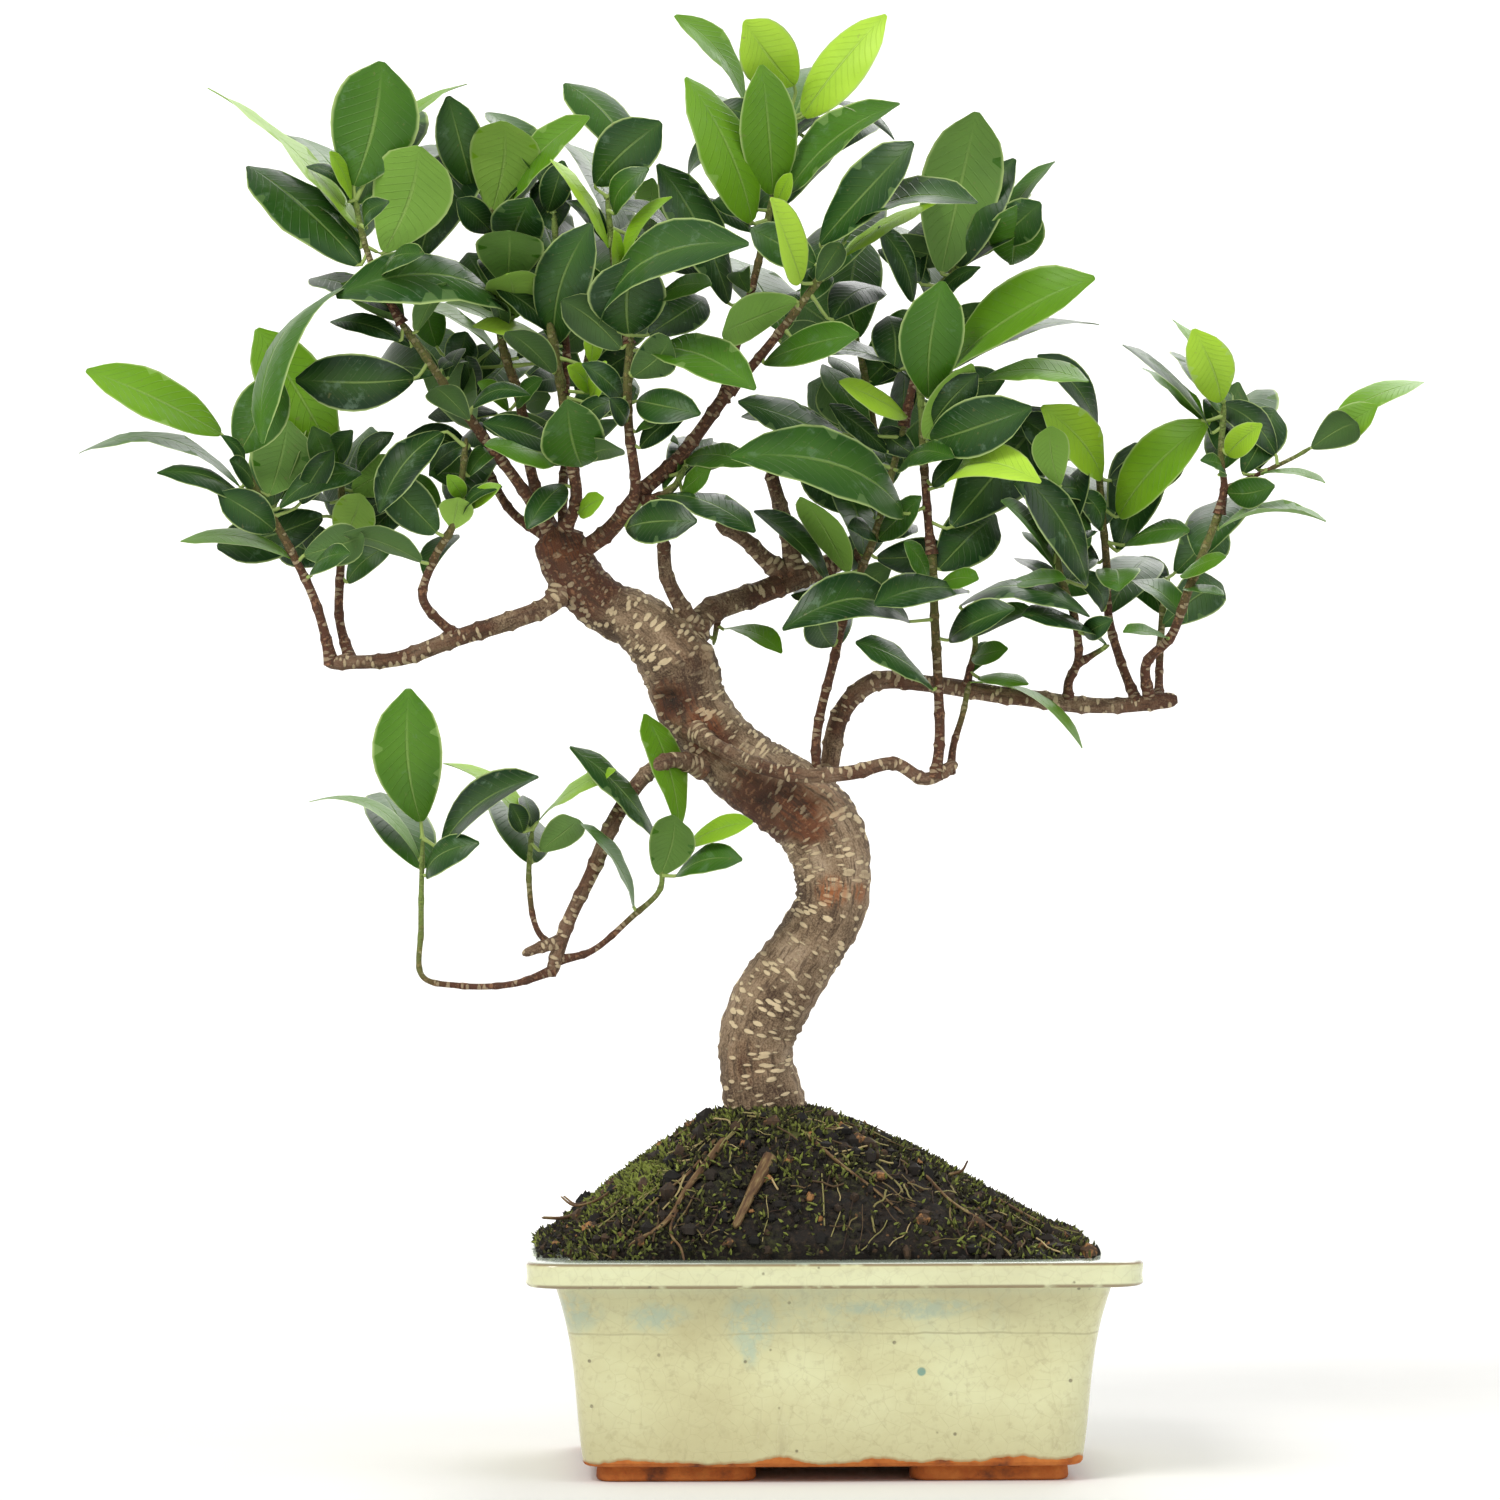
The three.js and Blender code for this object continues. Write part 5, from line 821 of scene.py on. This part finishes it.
def potProfile():
    # (inset, height) from the underside, up the flank, round the rim and down inside; each round is a quarter
    # circle from its start
    round1, turn = np.radians(np.linspace(-90, 0, 5)), np.radians(np.linspace(0, 90, 6))
    toe, cove, r = 1.2 * mm, 0.8 * mm, potStyle["rimRound"] * mm
    wall, floor = potStyle["wall"] * mm, footTop + potStyle["floor"] * mm
    heel, neck = wallInset(footTop), wallInset(underRim)
    low = [(heel + 1.4 * mm * (1 - np.cos(a)), footTop + toe * (1 + np.sin(a))) for a in round1]
    z = np.linspace(footTop + toe, underRim - cove, 34)
    flank = list(zip(wallInset(z), z))
    hollow = [(neck - 0.8 * r * (1 - np.cos(a)), underRim - cove + cove * np.sin(a)) for a in turn]
    under = [(r * (1 - np.sin(a)), underRim + r * (1 - np.cos(a))) for a in turn]
    rise = potHeight - underRim - 2 * r
    face = [(0.25 * mm * np.sin(s * np.pi), underRim + r + s * rise) for s in (0.25, 0.5, 0.75)]
    over = [(r * (1 - np.cos(a)), potHeight - r * (1 - np.sin(a))) for a in turn]
    inside = [(neck + wall - r * (1 - np.sin(a)), potHeight - r * (1 - np.cos(a))) for a in turn]
    zin = np.linspace(underRim, floor + 2 * mm, 8)
    lining = list(zip(wallInset(zin) + wall, zin))
    ends = [(low[0][0] + 2 * mm, footTop)], [(lining[-1][0] + 3 * mm, floor)]
    return np.array(ends[0] + low + flank + hollow + under + face + over + inside + lining + ends[1])


def makePot():
    skin = Skin()
    profile = potProfile()
    inset, height = profile[:, 0], profile[:, 1]
    corner = np.maximum(potStyle["corner"] * mm - inset * 0.2, 3 * mm)
    bow = np.full(len(inset), potStyle["bow"] * mm)
    rings = roundedRings(potLength / 2 - inset, potWidth / 2 - inset, corner, height, bow)
    # a hand-pressed body: a few tenths of slow unevenness
    sway = 0.35 * mm * np.sin(rings[..., 0] * 70 + 1) * np.sin(rings[..., 2] * 95)
    rings[..., 1] += sway * np.sign(rings[..., 1] - potCentre[1])
    skin.add(rings)
    rise = np.array([0, 0.4, 1.2, 3.0, 5.0, 6.0]) * mm
    shrink = np.array([1.4, 0.4, 0.0, 0.1, 0.4, 0.6]) * mm
    halfLength, halfWidth = potStyle["footLength"] * mm / 2, potStyle["footWidth"] * mm / 2
    inset = (potStyle["bottomInset"] + potStyle["footInset"]) * mm
    reachX, reachY = potLength / 2 - inset - halfLength, potWidth / 2 - inset - halfWidth
    corner = halfWidth - shrink - 0.1 * mm
    foot = roundedRings(halfLength - shrink, halfWidth - shrink, corner, rise, 0 * rise, 8, 6)
    for sx in (-1, 1):
        for sy in (-1, 1):
            skin.add(foot + np.array([sx * reachX, sy * reachY, 0]))
    pot = skin.piece("glazed_pot", makeGlaze(), "celadon_glaze", ["pot"], 50)
    drillHoles(pot)


def drillHoles(pot):
    # two drainage holes through the floor
    for side in (-1, 1):
        skin = Skin()
        angle = np.linspace(0, 2 * np.pi, 40, endpoint=False)
        ring = np.stack([np.cos(angle), np.sin(angle), 0 * angle], -1) * potStyle["drain"] * mm
        centre = np.array([potCentre[0] + side * potStyle["drainGap"] * mm / 2, potCentre[1], 0])
        skin.add([ring + centre + [0, 0, z * mm] for z in (-5, 16)])
        mesh = bpy.data.meshes.new("drill")
        mesh.from_pydata(np.concatenate(skin.points).tolist(), [], skin.faces)
        drill = bpy.data.objects.new("drill", mesh)
        bpy.context.scene.collection.objects.link(drill)
        cut = pot.modifiers.new("drain", "BOOLEAN")
        cut.operation, cut.solver, cut.object = "DIFFERENCE", "EXACT", drill
        bpy.context.view_layer.update()
        shape = bpy.data.meshes.new_from_object(pot.evaluated_get(bpy.context.evaluated_depsgraph_get()))
        pot.modifiers.clear()
        pot.data = shape
        bpy.data.objects.remove(drill)


def makeGlaze():
    # cream celadon over terracotta: bluish pools high on the flank, an uneven bare foot, thin brown rim edges
    f = Finish("celadonGlaze")
    where = f.place()
    x, y, z = (f.split(where, axis) for axis in "XYZ")
    zmm = z * 1000
    cloud = f.noise(f.stretched(where, (14, 14, 22)), 1, 5, 0.6)
    drip = f.noise(f.stretched(where, (42, 42, 9)), 1, 4, 0.55)
    fine = f.noise(where, 300, 3)
    base = f.ramp(cloud, (0.3, (0.55, 0.51, 0.27)), (0.5, (0.68, 0.67, 0.38)), (0.68, (0.76, 0.78, 0.48)))
    # painted shade: the glaze is painted darker towards the bottom of the flank
    low = f.step(zmm + (cloud - 0.5) * 30, 44, 8) * 0.65
    base = f.mix(low, base, (0.50, 0.46, 0.25))
    base = f.mix(f.step(f.noise(where, 380, 3, 0.6), 0.5, 0.72) * 0.28, base, (0.36, 0.31, 0.16))
    xmm = x * 1000 - float(potCentre[0]) * 1000
    pool = f.step(drip, 0.52, 0.64) * f.step(zmm, 40, 54) * 0.3
    for px, pz, rx, rz in potStyle["pools"]:
        across, down = (xmm - px + (drip - 0.5) * 16) * (1 / rx), (zmm - pz + (cloud - 0.5) * 14) * (1 / rz)
        pool = pool.most(f.step(across * across + down * down, 1.6, 0.0))
    pool = pool * f.step(zmm, 63, 60) * f.step(y, -0.03, -0.05)
    pool = pool * f.step(f.noise(where, 260, 4, 0.7), 0.30, 0.62)
    base = f.mix(pool * 0.75, base, (0.44, 0.56, 0.44))
    dot = (xmm - 27) * (xmm - 27) + (zmm - 35) * (zmm - 35)
    base = f.mix(f.step(dot, 2.6, 1.0) * f.step(y, -0.03, -0.05), base, (0.20, 0.36, 0.28))
    # painted shade: the glaze is painted darker at both rounded ends, more so low down
    corner = f.step(xmm.size(), 62, 84) * f.step(zmm, 62, 30)
    base = f.mix(corner * 0.35, base, (0.46, 0.43, 0.24))
    band = f.step(zmm, 58, 62) * f.step(zmm, 70.5, 67)
    base = f.mix(band * 0.35, base, (0.70, 0.76, 0.54))
    # painted shade: the rim's top face, lit brightest from above, is painted down to a bluish grey
    inner = f.step(zmm, 69.2, 69.8)
    base = f.mix(inner * 0.8, base, (0.42, 0.52, 0.46))
    edge = f.step((zmm - 62.4).size(), 1.1, 0.3).most(f.step((zmm - 69.4).size(), 0.7, 0.1))
    base = f.mix(edge * f.step(f.noise(where, 110, 3), 0.30, 0.46) * 0.8, base, (0.20, 0.12, 0.05))
    crease = f.step((zmm - 47 - (drip - 0.5) * 3).size(), 0.5, 0.1) * f.step(cloud, 0.35, 0.55)
    base = f.mix(crease * 0.55, base, (0.36, 0.33, 0.18))
    spots = f.step(f.cells(where, 130), 0.10, 0.05) * f.step(f.noise(where, 40, 1), 0.42, 0.5)
    base = f.mix(spots * 0.7, base, (0.10, 0.08, 0.04))
    crackle = f.step(f.cells(where, 210, "DISTANCE_TO_EDGE"), 0.035, 0.01)
    base = f.mix(crackle * 0.12, base, (0.35, 0.30, 0.16))
    dirt = f.step(f.noise(f.stretched(where, (30, 30, 12)), 1, 5, 0.7), 0.55, 0.75) * f.step(zmm, 40, 5)
    base = f.mix(dirt * 0.45, base, (0.33, 0.28, 0.15))
    clay = f.ramp(f.noise(where, 90, 4, 0.6), (0.3, (0.10, 0.03, 0.012)), (0.44, (0.42, 0.11, 0.016)),
                  (0.7, (0.62, 0.21, 0.04)))
    line = f.noise(f.stretched(where, (34, 34, 10)), 1, 4, 0.65) * 9 + 2.4
    bare = 1 - f.node("ShaderNodeMath", {"operation": "GREATER_THAN"}, [zmm, line])
    rust = f.step((zmm - line).size(), 1.2, 0.1) * (1 - bare)
    base = f.mix(rust * 0.7, base, (0.33, 0.16, 0.04))
    shade = f.mix(bare, base, clay)
    height = cloud * 0.7 + fine * 0.08 - crackle * 0.06 + bare * fine * 0.8 - spots * 0.4
    return f.surface(Base_Color=shade, Roughness=0.16 + bare * 0.62 + 0.12 * cloud + dirt * 0.2,
                     Coat_Weight=(1 - bare) * 0.6, Normal=f.bump(height, 0.0008, 0.6))


makePot()
print("pot done")

# in mm; reach is the half length and width that crumbs and fibres keep to, inside the walls
groundStyle = {"peak": 43, "edge": 3, "lumps": 3600, "fibres": 420, "tufts": 7500, "flecks": 16000,
               "heapFlecks": 900, "reach": (83, 61.5), "seed": 7}


def soilHeight(x, y):
    # a cosine down to each end of the pot along x, a steep fall to the long walls; x, y from the pot's centre
    leftReach, rightReach = potLength / 2 + trunkX + 14 * mm, potLength / 2 - trunkX + 9 * mm
    along = np.minimum(np.abs(x - trunkX) / np.where(x < trunkX, leftReach, rightReach), 1)
    ridge = (groundStyle["peak"] + groundStyle["edge"]) * mm * (0.5 + 0.5 * np.cos(np.pi * along))
    across = np.minimum(np.abs(y) / (potWidth / 2 - potStyle["overhang"] * mm), 1)
    return potHeight - groundStyle["edge"] * mm + ridge * (1 - across**2.4)


def crumbs(x, y):
    # fixed sum of waves at several sizes, about -1 to 1
    a = np.sin(x * 310 + 1.3 * np.sin(y * 270)) * np.sin(y * 350 + 1.1 * np.sin(x * 240))
    b = np.sin(x * 820 + 2 * np.sin(y * 610 + 1)) * np.sin(y * 770 + 2 * np.sin(x * 690))
    c = np.sin(x * 1900 + 2 * np.sin(y * 1500)) * np.sin(y * 2100 + 2 * np.sin(x * 1700))
    return 0.4 * a + 0.42 * b + 0.34 * c


def onMound(x, y, rise=0.0):
    return np.stack([x + potCentre[0], y + potCentre[1], soilHeight(x, y) + rise], -1)


def moundNormal(x, y):
    step = 1 * mm
    dx = (soilHeight(x + step, y) - soilHeight(x - step, y)) / (2 * step)
    dy = (soilHeight(x, y + step) - soilHeight(x, y - step)) / (2 * step)
    return unit(np.stack([-dx, -dy, np.ones_like(dx)], -1))


def makeSoil():
    # rings from the floor up the wall, then inward over the mound to its middle
    skin = Skin()
    inset = wallInset(underRim) + (potStyle["wall"] + 0.3) * mm
    shares = np.linspace(1, 0.012, 90)
    half = [potLength / 2 - inset, potWidth / 2 - inset]
    ring = roundedRings([half[0]], [half[1]], [10 * mm], [0], [potStyle["bow"] * mm], 10, 40)[0]
    x, y = ring[:, 0] - potCentre[0], ring[:, 1] - potCentre[1]
    grid = np.stack([x[None] * shares[:, None], y[None] * shares[:, None]], -1)
    rough = crumbs(grid[..., 0], grid[..., 1]) * 1.7 * mm + dice.normal(0, 0.3, grid.shape[:2]) * mm
    rough += np.maximum(0, crumbs(grid[..., 0] * 0.6 + 2, grid[..., 1] * 0.9)) * 2.2 * mm
    top = onMound(grid[..., 0], grid[..., 1], rough)
    z = np.array([30, 50]) * mm
    inset = wallInset(z) + (potStyle["wall"] + 0.3) * mm
    bows = np.full(2, potStyle["bow"] * mm)
    wall = roundedRings(potLength / 2 - inset, potWidth / 2 - inset, np.full(2, 8 * mm), z, bows, 10, 40)
    skin.add(np.concatenate([wall, top]))
    skin.piece("soil", makeSoilFinish(), "soil_mix", ["soil_mound"], 80)


def makeSoilFinish():
    f = Finish("pottingMix")
    where = f.place()
    grit, big = f.noise(where, 520, 5, 0.7), f.noise(where, 70, 4)
    shade = f.ramp(grit, (0.35, (0.004, 0.003, 0.002)), (0.55, (0.016, 0.010, 0.006)),
                   (0.75, (0.07, 0.042, 0.02)))
    shade = f.mix(f.step(big, 0.5, 0.64) * f.step(grit, 0.4, 0.6) * 0.5, shade, (0.05, 0.06, 0.012))
    return f.surface(Base_Color=shade, Roughness=0.95 - 0.15 * big, Normal=f.bump(grit, 0.0012, 1.0))


def lumpRings(centres, sizes, rng):
    # small rough stones: four rings of six, each point pushed in or out
    count = len(centres)
    polar = np.linspace(0.25, np.pi - 0.25, 4)[None, :, None]
    turn = np.linspace(0, 2 * np.pi, 6, endpoint=False)[None, None, :]
    reach = sizes[:, None, None] * rng.uniform(0.7, 1.25, (count, 4, 6))
    squash = rng.uniform(0.45, 1.0, (count, 1, 1, 3))
    out = np.sin(polar)
    ball = np.stack([out * np.cos(turn), out * np.sin(turn), np.cos(polar) + 0 * turn], -1)
    return centres[:, None, None] + ball[:, ::-1] * reach[..., None] * squash


def makeLitter(rng):
    # crumbs of soil and bark, then thin straw-coloured fibres
    n = groundStyle["lumps"]
    reachX, reachY = np.array(groundStyle["reach"]) * mm
    x, y = rng.uniform(-reachX, reachX, n), rng.uniform(-reachY, reachY, n)
    heap = n // 6
    x[:heap], y[:heap] = rng.uniform(-0.092, -0.079, heap), rng.normal(-0.008, 0.02, heap).clip(-0.052, 0.046)
    size = rng.gamma(2.0, 0.6, n).clip(0.5, 4.0) * mm
    size[:heap] = size[:heap].clip(0.5 * mm, 1.8 * mm)
    skin = Skin()
    skin.add(lumpRings(onMound(x, y, size * 0.35), size, rng), tone=rng.uniform(0, 1, (n, 1, 1)))
    f = Finish("soilCrumbs")
    tone = f.attribute("tone") + (f.noise(f.place(), 700, 3) - 0.5) * 0.5
    shade = f.ramp(tone, (0.1, (0.004, 0.003, 0.002)), (0.65, (0.018, 0.011, 0.006)),
                   (0.92, (0.07, 0.036, 0.015)), (1.0, (0.34, 0.16, 0.05)))
    skin.piece("soil_crumbs", f.surface(Base_Color=shade, Roughness=0.9 - 0.1 * tone), "soil_mix", [], 30)
    fibres = Skin()
    n = groundStyle["fibres"]
    x, y, turn = rng.uniform(-0.078, 0.078, n), rng.uniform(-0.058, 0.058, n), rng.uniform(0, 2 * np.pi, n)
    length, thick = rng.uniform(4, 15, n) * mm, rng.uniform(0.12, 0.34, n) * mm
    t = np.linspace(-0.5, 0.5, 7)[None, :]
    bend = rng.uniform(-0.1, 0.1, n)[:, None] * ((0.25 - t**2) * 4 + np.sin(t * 9 + turn[:, None]) * 0.5)
    px = x[:, None] + length[:, None] * (t * np.cos(turn)[:, None] - bend * np.sin(turn)[:, None])
    py = y[:, None] + length[:, None] * (t * np.sin(turn)[:, None] + bend * np.cos(turn)[:, None])
    px, py = np.clip(px, -reachX, reachX), np.clip(py, -reachY, reachY)
    path = onMound(px, py, 1.4 * mm + rng.uniform(0, 1.6, (n, 1)) * mm)
    tangent = unit(np.gradient(path, axis=1))
    side = unit(np.cross(tangent, [0, 0, 1.0]))
    over = np.cross(side, tangent)
    angle = np.linspace(0, 2 * np.pi, 5, endpoint=False)
    rings = path[:, :, None] + spokes(side[:, :, None], over[:, :, None], angle) * thick[:, None, None, None]
    fibres.add(rings, tone=rng.uniform(0, 1, (n, 1, 1)))
    f = Finish("dryFibres")
    tone = f.attribute("tone") + (f.noise(f.place(), 300, 2) - 0.5) * 0.4
    shade = f.ramp(tone, (0.1, (0.035, 0.016, 0.007)), (0.5, (0.13, 0.08, 0.03)), (0.8, (0.24, 0.22, 0.07)),
                   (1.0, (0.50, 0.38, 0.18)))
    fibres.piece("soil_fibres", f.surface(Base_Color=shade, Roughness=0.8 - 0.1 * tone), "dry_wood", [], 60)


# each cushion: node, x, y, half length, half width (mm from the pot's centre), how green
mossPads = [["moss_trunk_foot", -20, -2, 29, 28, 0.45], ["moss_left_slope", -65, -6, 17, 36, 0.8],
            ["moss_right_ridge", 46, 0, 32, 31, 0.25]]


def padEdge(angle, x):
    return 1 + 0.12 * np.sin(3 * angle + x) + 0.08 * np.sin(5 * angle)


def addTufts(skin, x, y, rise, green, rng):
    # three-sided blades a few millimetres long, leaning about the mound's normal, in clumps of one tone
    count = len(x)
    foot = onMound(x, y, rise)
    lean = unit(moundNormal(x, y) + rng.normal(0, 0.75, (count, 3)))
    clump = 0.5 + 0.5 * crumbs(x * 0.8 + 0.2, y * 0.8)
    tall = (rng.uniform(0.6, 1.8, count) + 2.2 * clump * rng.uniform(0.3, 1, count))[:, None] * mm
    side = unit(np.cross(lean, rng.normal(0, 1, (count, 3))))
    over = np.cross(lean, side)
    turn = np.arange(3) * 2 * np.pi / 3
    wide = np.array([0.34, 0.50, 0.06])[None, :, None, None] * mm
    level = np.array([0, 0.5, 1.0])[None, :, None, None]
    ring = spokes(side[:, None, None], over[:, None, None], turn)
    tone = green + (clump - 0.5) * 0.8 + rng.normal(0, 0.3, count)
    skin.add(foot[:, None, None] + lean[:, None, None] * tall[:, None, None] * level + ring * wide,
             green=np.clip(tone, 0, 1)[:, None, None])


def makeMoss(rng):
    finish = makeMossFinish()
    for name, x0, y0, halfLength, halfWidth, green in mossPads:
        skin = Skin()
        angle = np.linspace(0, 2 * np.pi, 90, endpoint=False)[None, :]
        share = np.concatenate([np.linspace(0.03, 1, 5), np.linspace(1, 0.012, 34)])[:, None]
        isTop = (np.arange(39) >= 5)[:, None]
        reach = share * padEdge(angle, x0)
        x = (x0 + halfLength * reach * np.cos(angle)) * mm
        y = (y0 + halfWidth * reach * np.sin(angle)) * mm
        x, y = np.clip(x, -0.0815, 0.0815), np.clip(y, -0.0605, 0.0605)
        bumps = crumbs(x * 0.7 + 0.3, y * 0.7) * 0.9 * mm
        rise = np.where(isTop, (2.6 * mm + bumps) * (1 - share**4) - 0.2 * mm, -1.5 * mm)
        skin.add(onMound(x, y, rise), green=np.full((39, 90), green)[None])
        tuftCount = int(groundStyle["tufts"] * halfLength * halfWidth / 2700)
        spread = np.sqrt(rng.uniform(0, 1, tuftCount)) * 1.03
        turn = rng.uniform(0, 2 * np.pi, tuftCount)
        tx = (x0 + halfLength * spread * padEdge(turn, x0) * np.cos(turn)) * mm
        ty = (y0 + halfWidth * spread * padEdge(turn, x0) * np.sin(turn)) * mm
        tx, ty = np.clip(tx, -0.0835, 0.0835), np.clip(ty, -0.062, 0.062)
        addTufts(skin, tx, ty, 2.0 * mm * (1 - spread**4), green, rng)
        skin.piece(name + "_cushion", finish, "moss", [name], 40)


def makeFlecks(rng):
    # thin moss over the rest of the mound, and over the heap on the pot's left rim
    skin = Skin()
    count = groundStyle["flecks"]
    x, y = rng.uniform(-0.083, 0.083, count), rng.uniform(-0.0625, 0.0625, count)
    patch = crumbs(x * 0.33 + 1, y * 0.33) + 0.5 * crumbs(x * 0.8, y * 0.8)
    keep = patch > rng.uniform(-0.6, 0.4, count) + x * 3
    addTufts(skin, x[keep], y[keep], rng.uniform(0.2, 2.2, keep.sum()) * mm, 0.42, rng)
    count = groundStyle["heapFlecks"]
    x, y = rng.uniform(-0.0925, -0.080, count), rng.normal(-0.008, 0.018, count).clip(-0.05, 0.045)
    addTufts(skin, x, y, rng.uniform(-0.6, 0.8, count) * mm, 0.35, rng)
    skin.piece("moss_flecks", makeMossFinish(), "moss", [], 40)


def makeMossFinish():
    f = Finish("cushionMoss")
    where = f.place()
    green = f.attribute("green") + (f.noise(where, 60, 4) - 0.5) * 0.9 + (f.noise(where, 900, 2) - 0.5) * 0.35
    shade = f.ramp(green, (0.05, (0.010, 0.007, 0.004)), (0.38, (0.035, 0.032, 0.010)),
                   (0.62, (0.085, 0.095, 0.017)), (0.95, (0.22, 0.26, 0.045)))
    return f.surface(Base_Color=shade, Roughness=0.95 - 0.1 * green)


# lying pieces, those of a node and loose ones: radius and [x, y, height over the mound] in mm from the
# pot's centre
lyingStyle = {
    "surface_root": [1.2, [[-33, -28, 1], [-39, -37, 1.6], [-46, -44, 1.5], [-52, -52, 1.5],
                           [-64, -57, 1.3]]],
    "wood_chip": [2.1, [[-19, -39, 2], [-25, -49, 2.4], [-31, -57, 2]]],
    "dry_twig": [0.8, [[-70, -9, 2], [-76, -10, 2.4], [-83, -12, 3.5], [-91, -14, 8]]],
    "loose": [[0.55, [[-36, -26, 1], [-44, -38, 2], [-57, -44, 1.4], [-66, -54, 1]]],
              [0.5, [[-48, -48, 1.5], [-51, -56, 2], [-48, -61, 3], [-47, -68, 3.5]]],
              [0.5, [[-66, -20, 3], [-74, -22, 4], [-81, -20, 7], [-85, -18, 12]]],
              [0.45, [[-73, -12, 3], [-80, -6, 5], [-84, -2, 10]]],
              [0.6, [[-8, -28, 1.5], [4, -40, 2], [12, -44, 1.4], [22, -50, 1]]],
              [0.5, [[38, -22, 3], [42, -24, 7], [44, -23, 11]]],
              [0.5, [[30, -30, 2], [38, -42, 3], [47, -46, 2.5], [56, -54, 2]]],
              [0.6, [[52, -18, 3], [64, -24, 3], [74, -22, 2]]],
              [0.9, [[-24, 20, 1], [-36, 34, 2], [-40, 50, 1.2]]],
              [0.8, [[0, 18, 1], [20, 32, 2], [38, 48, 1.4]]]]}


def makeLying():
    f = Finish("tanRoot")
    lines = f.noise(f.stretched(f.attribute("skinPlace", "Vector"), (900, 900, 160)), 1, 4, 0.6)
    lines = lines + (f.noise(f.place(), 60, 2) - 0.5) * 0.6
    shade = f.ramp(lines, (0.3, (0.045, 0.018, 0.008)), (0.5, (0.14, 0.075, 0.028)),
                   (0.75, (0.34, 0.27, 0.11)))
    finish = f.surface(Base_Color=shade, Roughness=0.8 - 0.1 * lines, Normal=f.bump(lines, 0.0004, 0.8))
    number = 0
    for name, runs in lyingStyle.items():
        skin = Skin()
        for radius, points in runs if name == "loose" else [runs]:
            path, _ = smoothPath(onMound(*(np.array(points, float) * mm).T), 34)
            radii = radius * mm * np.linspace(1.1, 0.6, 34)
            radii[[0, -1]] *= 0.4
            rings, skinPlace, _ = tubeRings(path, radii, 10, 0.07, number)
            skin.add(rings, skinPlace=skinPlace)
            number += 1
        if name == "loose":
            skin.piece("loose_roots", finish, "dry_wood")
        else:
            skin.piece(name + "_bark", finish, "dry_wood", [name])


dice = np.random.default_rng(groundStyle["seed"])
makeSoil()
makeLitter(dice)
makeMoss(dice)
makeFlecks(dice)
makeLying()
print("ground done")


def finishScreens():
    f = Finish("screenPlastic")
    grain = f.noise(f.place(), 900, 3)
    shade = f.ramp(grain, (0.3, (0.018, 0.018, 0.017)), (0.7, (0.05, 0.05, 0.047)))
    screen = f.surface(Base_Color=shade, Roughness=0.5 + 0.2 * grain, Normal=f.bump(grain, 0.0002, 0.5))
    for name in ("drainage_screen_left", "drainage_screen_right"):
        node = bpy.data.objects[name]
        node.data.materials.clear()
        node.data.materials.append(screen)


finishScreens()

lampStyle = [["softbox_left", (-1.1, -1.3, 1.7), 1.2, 31, (1.0, 0.98, 0.94), (0, 0, 0.25)],
             ["softbox_right", (1.5, -1.0, 1.1), 1.4, 9, (0.97, 0.98, 1.0), (0, 0, 0.25)],
             ["softbox_back", (0.5, 1.2, 1.5), 1.2, 12, (1.0, 1.0, 1.0), (0, 0, 0.25)],
             ["backdrop_left", (-1.6, 1.2, 1.6), 1.6, 55, (1.0, 1.0, 1.0), (-0.6, 4, 0.7)],
             ["backdrop_right", (1.6, 1.2, 1.6), 1.6, 55, (1.0, 1.0, 1.0), (0.6, 4, 0.7)]]


def makeStudio():
    f = Finish("paleFloor")
    tone = f.noise(f.place(), 6, 3)
    shade = f.ramp(tone, (0.3, (0.80, 0.80, 0.79)), (0.7, (0.84, 0.84, 0.83)))
    floor = bpy.data.meshes.new("floor")
    # a floor that curves up into a backdrop: straight, a quarter circle of 1 m, straight up
    bend = np.linspace(0, np.pi / 2, 24)
    depth = np.concatenate([[-6], 3 + np.sin(bend), [4]])
    height = np.concatenate([[0], 1 - np.cos(bend), [6]])
    left = np.stack([np.full(26, -6.0), depth, height], -1)
    right = left * [-1, 1, 1]
    faces = [[i, i + 26, i + 27, i + 1] for i in range(25)]
    floor.from_pydata(np.concatenate([left, right]).tolist(), [], faces)
    floor.shade_smooth()
    floor.materials.append(f.surface(Base_Color=shade, Roughness=0.9))
    stage = bpy.data.objects.new("floor", floor)
    bpy.context.scene.collection.objects.link(stage)
    world = bpy.data.worlds.new("paleRoom")
    world.use_nodes = True
    world.node_tree.nodes["Background"].inputs["Color"].default_value = (1.0, 0.985, 0.955, 1)
    world.node_tree.nodes["Background"].inputs["Strength"].default_value = 0.62
    bpy.context.scene.world = world
    bpy.context.scene.view_settings.view_transform = "Standard"
    for name, spot, size, power, colour, aim in lampStyle:
        lamp = bpy.data.lights.new(name, "AREA")
        lamp.shape, lamp.size, lamp.energy, lamp.color = "DISK", size, power, colour
        light = bpy.data.objects.new(name, lamp)
        light.location = Vector(spot)
        light.rotation_euler = (Vector(aim) - light.location).to_track_quat("-Z", "Y").to_euler()
        bpy.context.scene.collection.objects.link(light)


def makeCamera():
    eye = place([viewPoint["x"], viewPoint["z"], 0]) + np.array([0, viewPoint["y"] * mm, 0])
    aim = place([viewPoint["aimX"], viewPoint["z"], 0])
    data = bpy.data.cameras.new("camera")
    data.lens, data.sensor_width, data.clip_end = viewPoint["lens"], 36, 50
    camera = bpy.data.objects.new("camera", data)
    camera.location = Vector(eye.tolist())
    camera.rotation_euler = Vector((aim - eye).tolist()).to_track_quat("-Z", "Y").to_euler()
    bpy.context.scene.collection.objects.link(camera)
    bpy.context.scene.camera = camera


makeStudio()
makeCamera()
print("studio done")
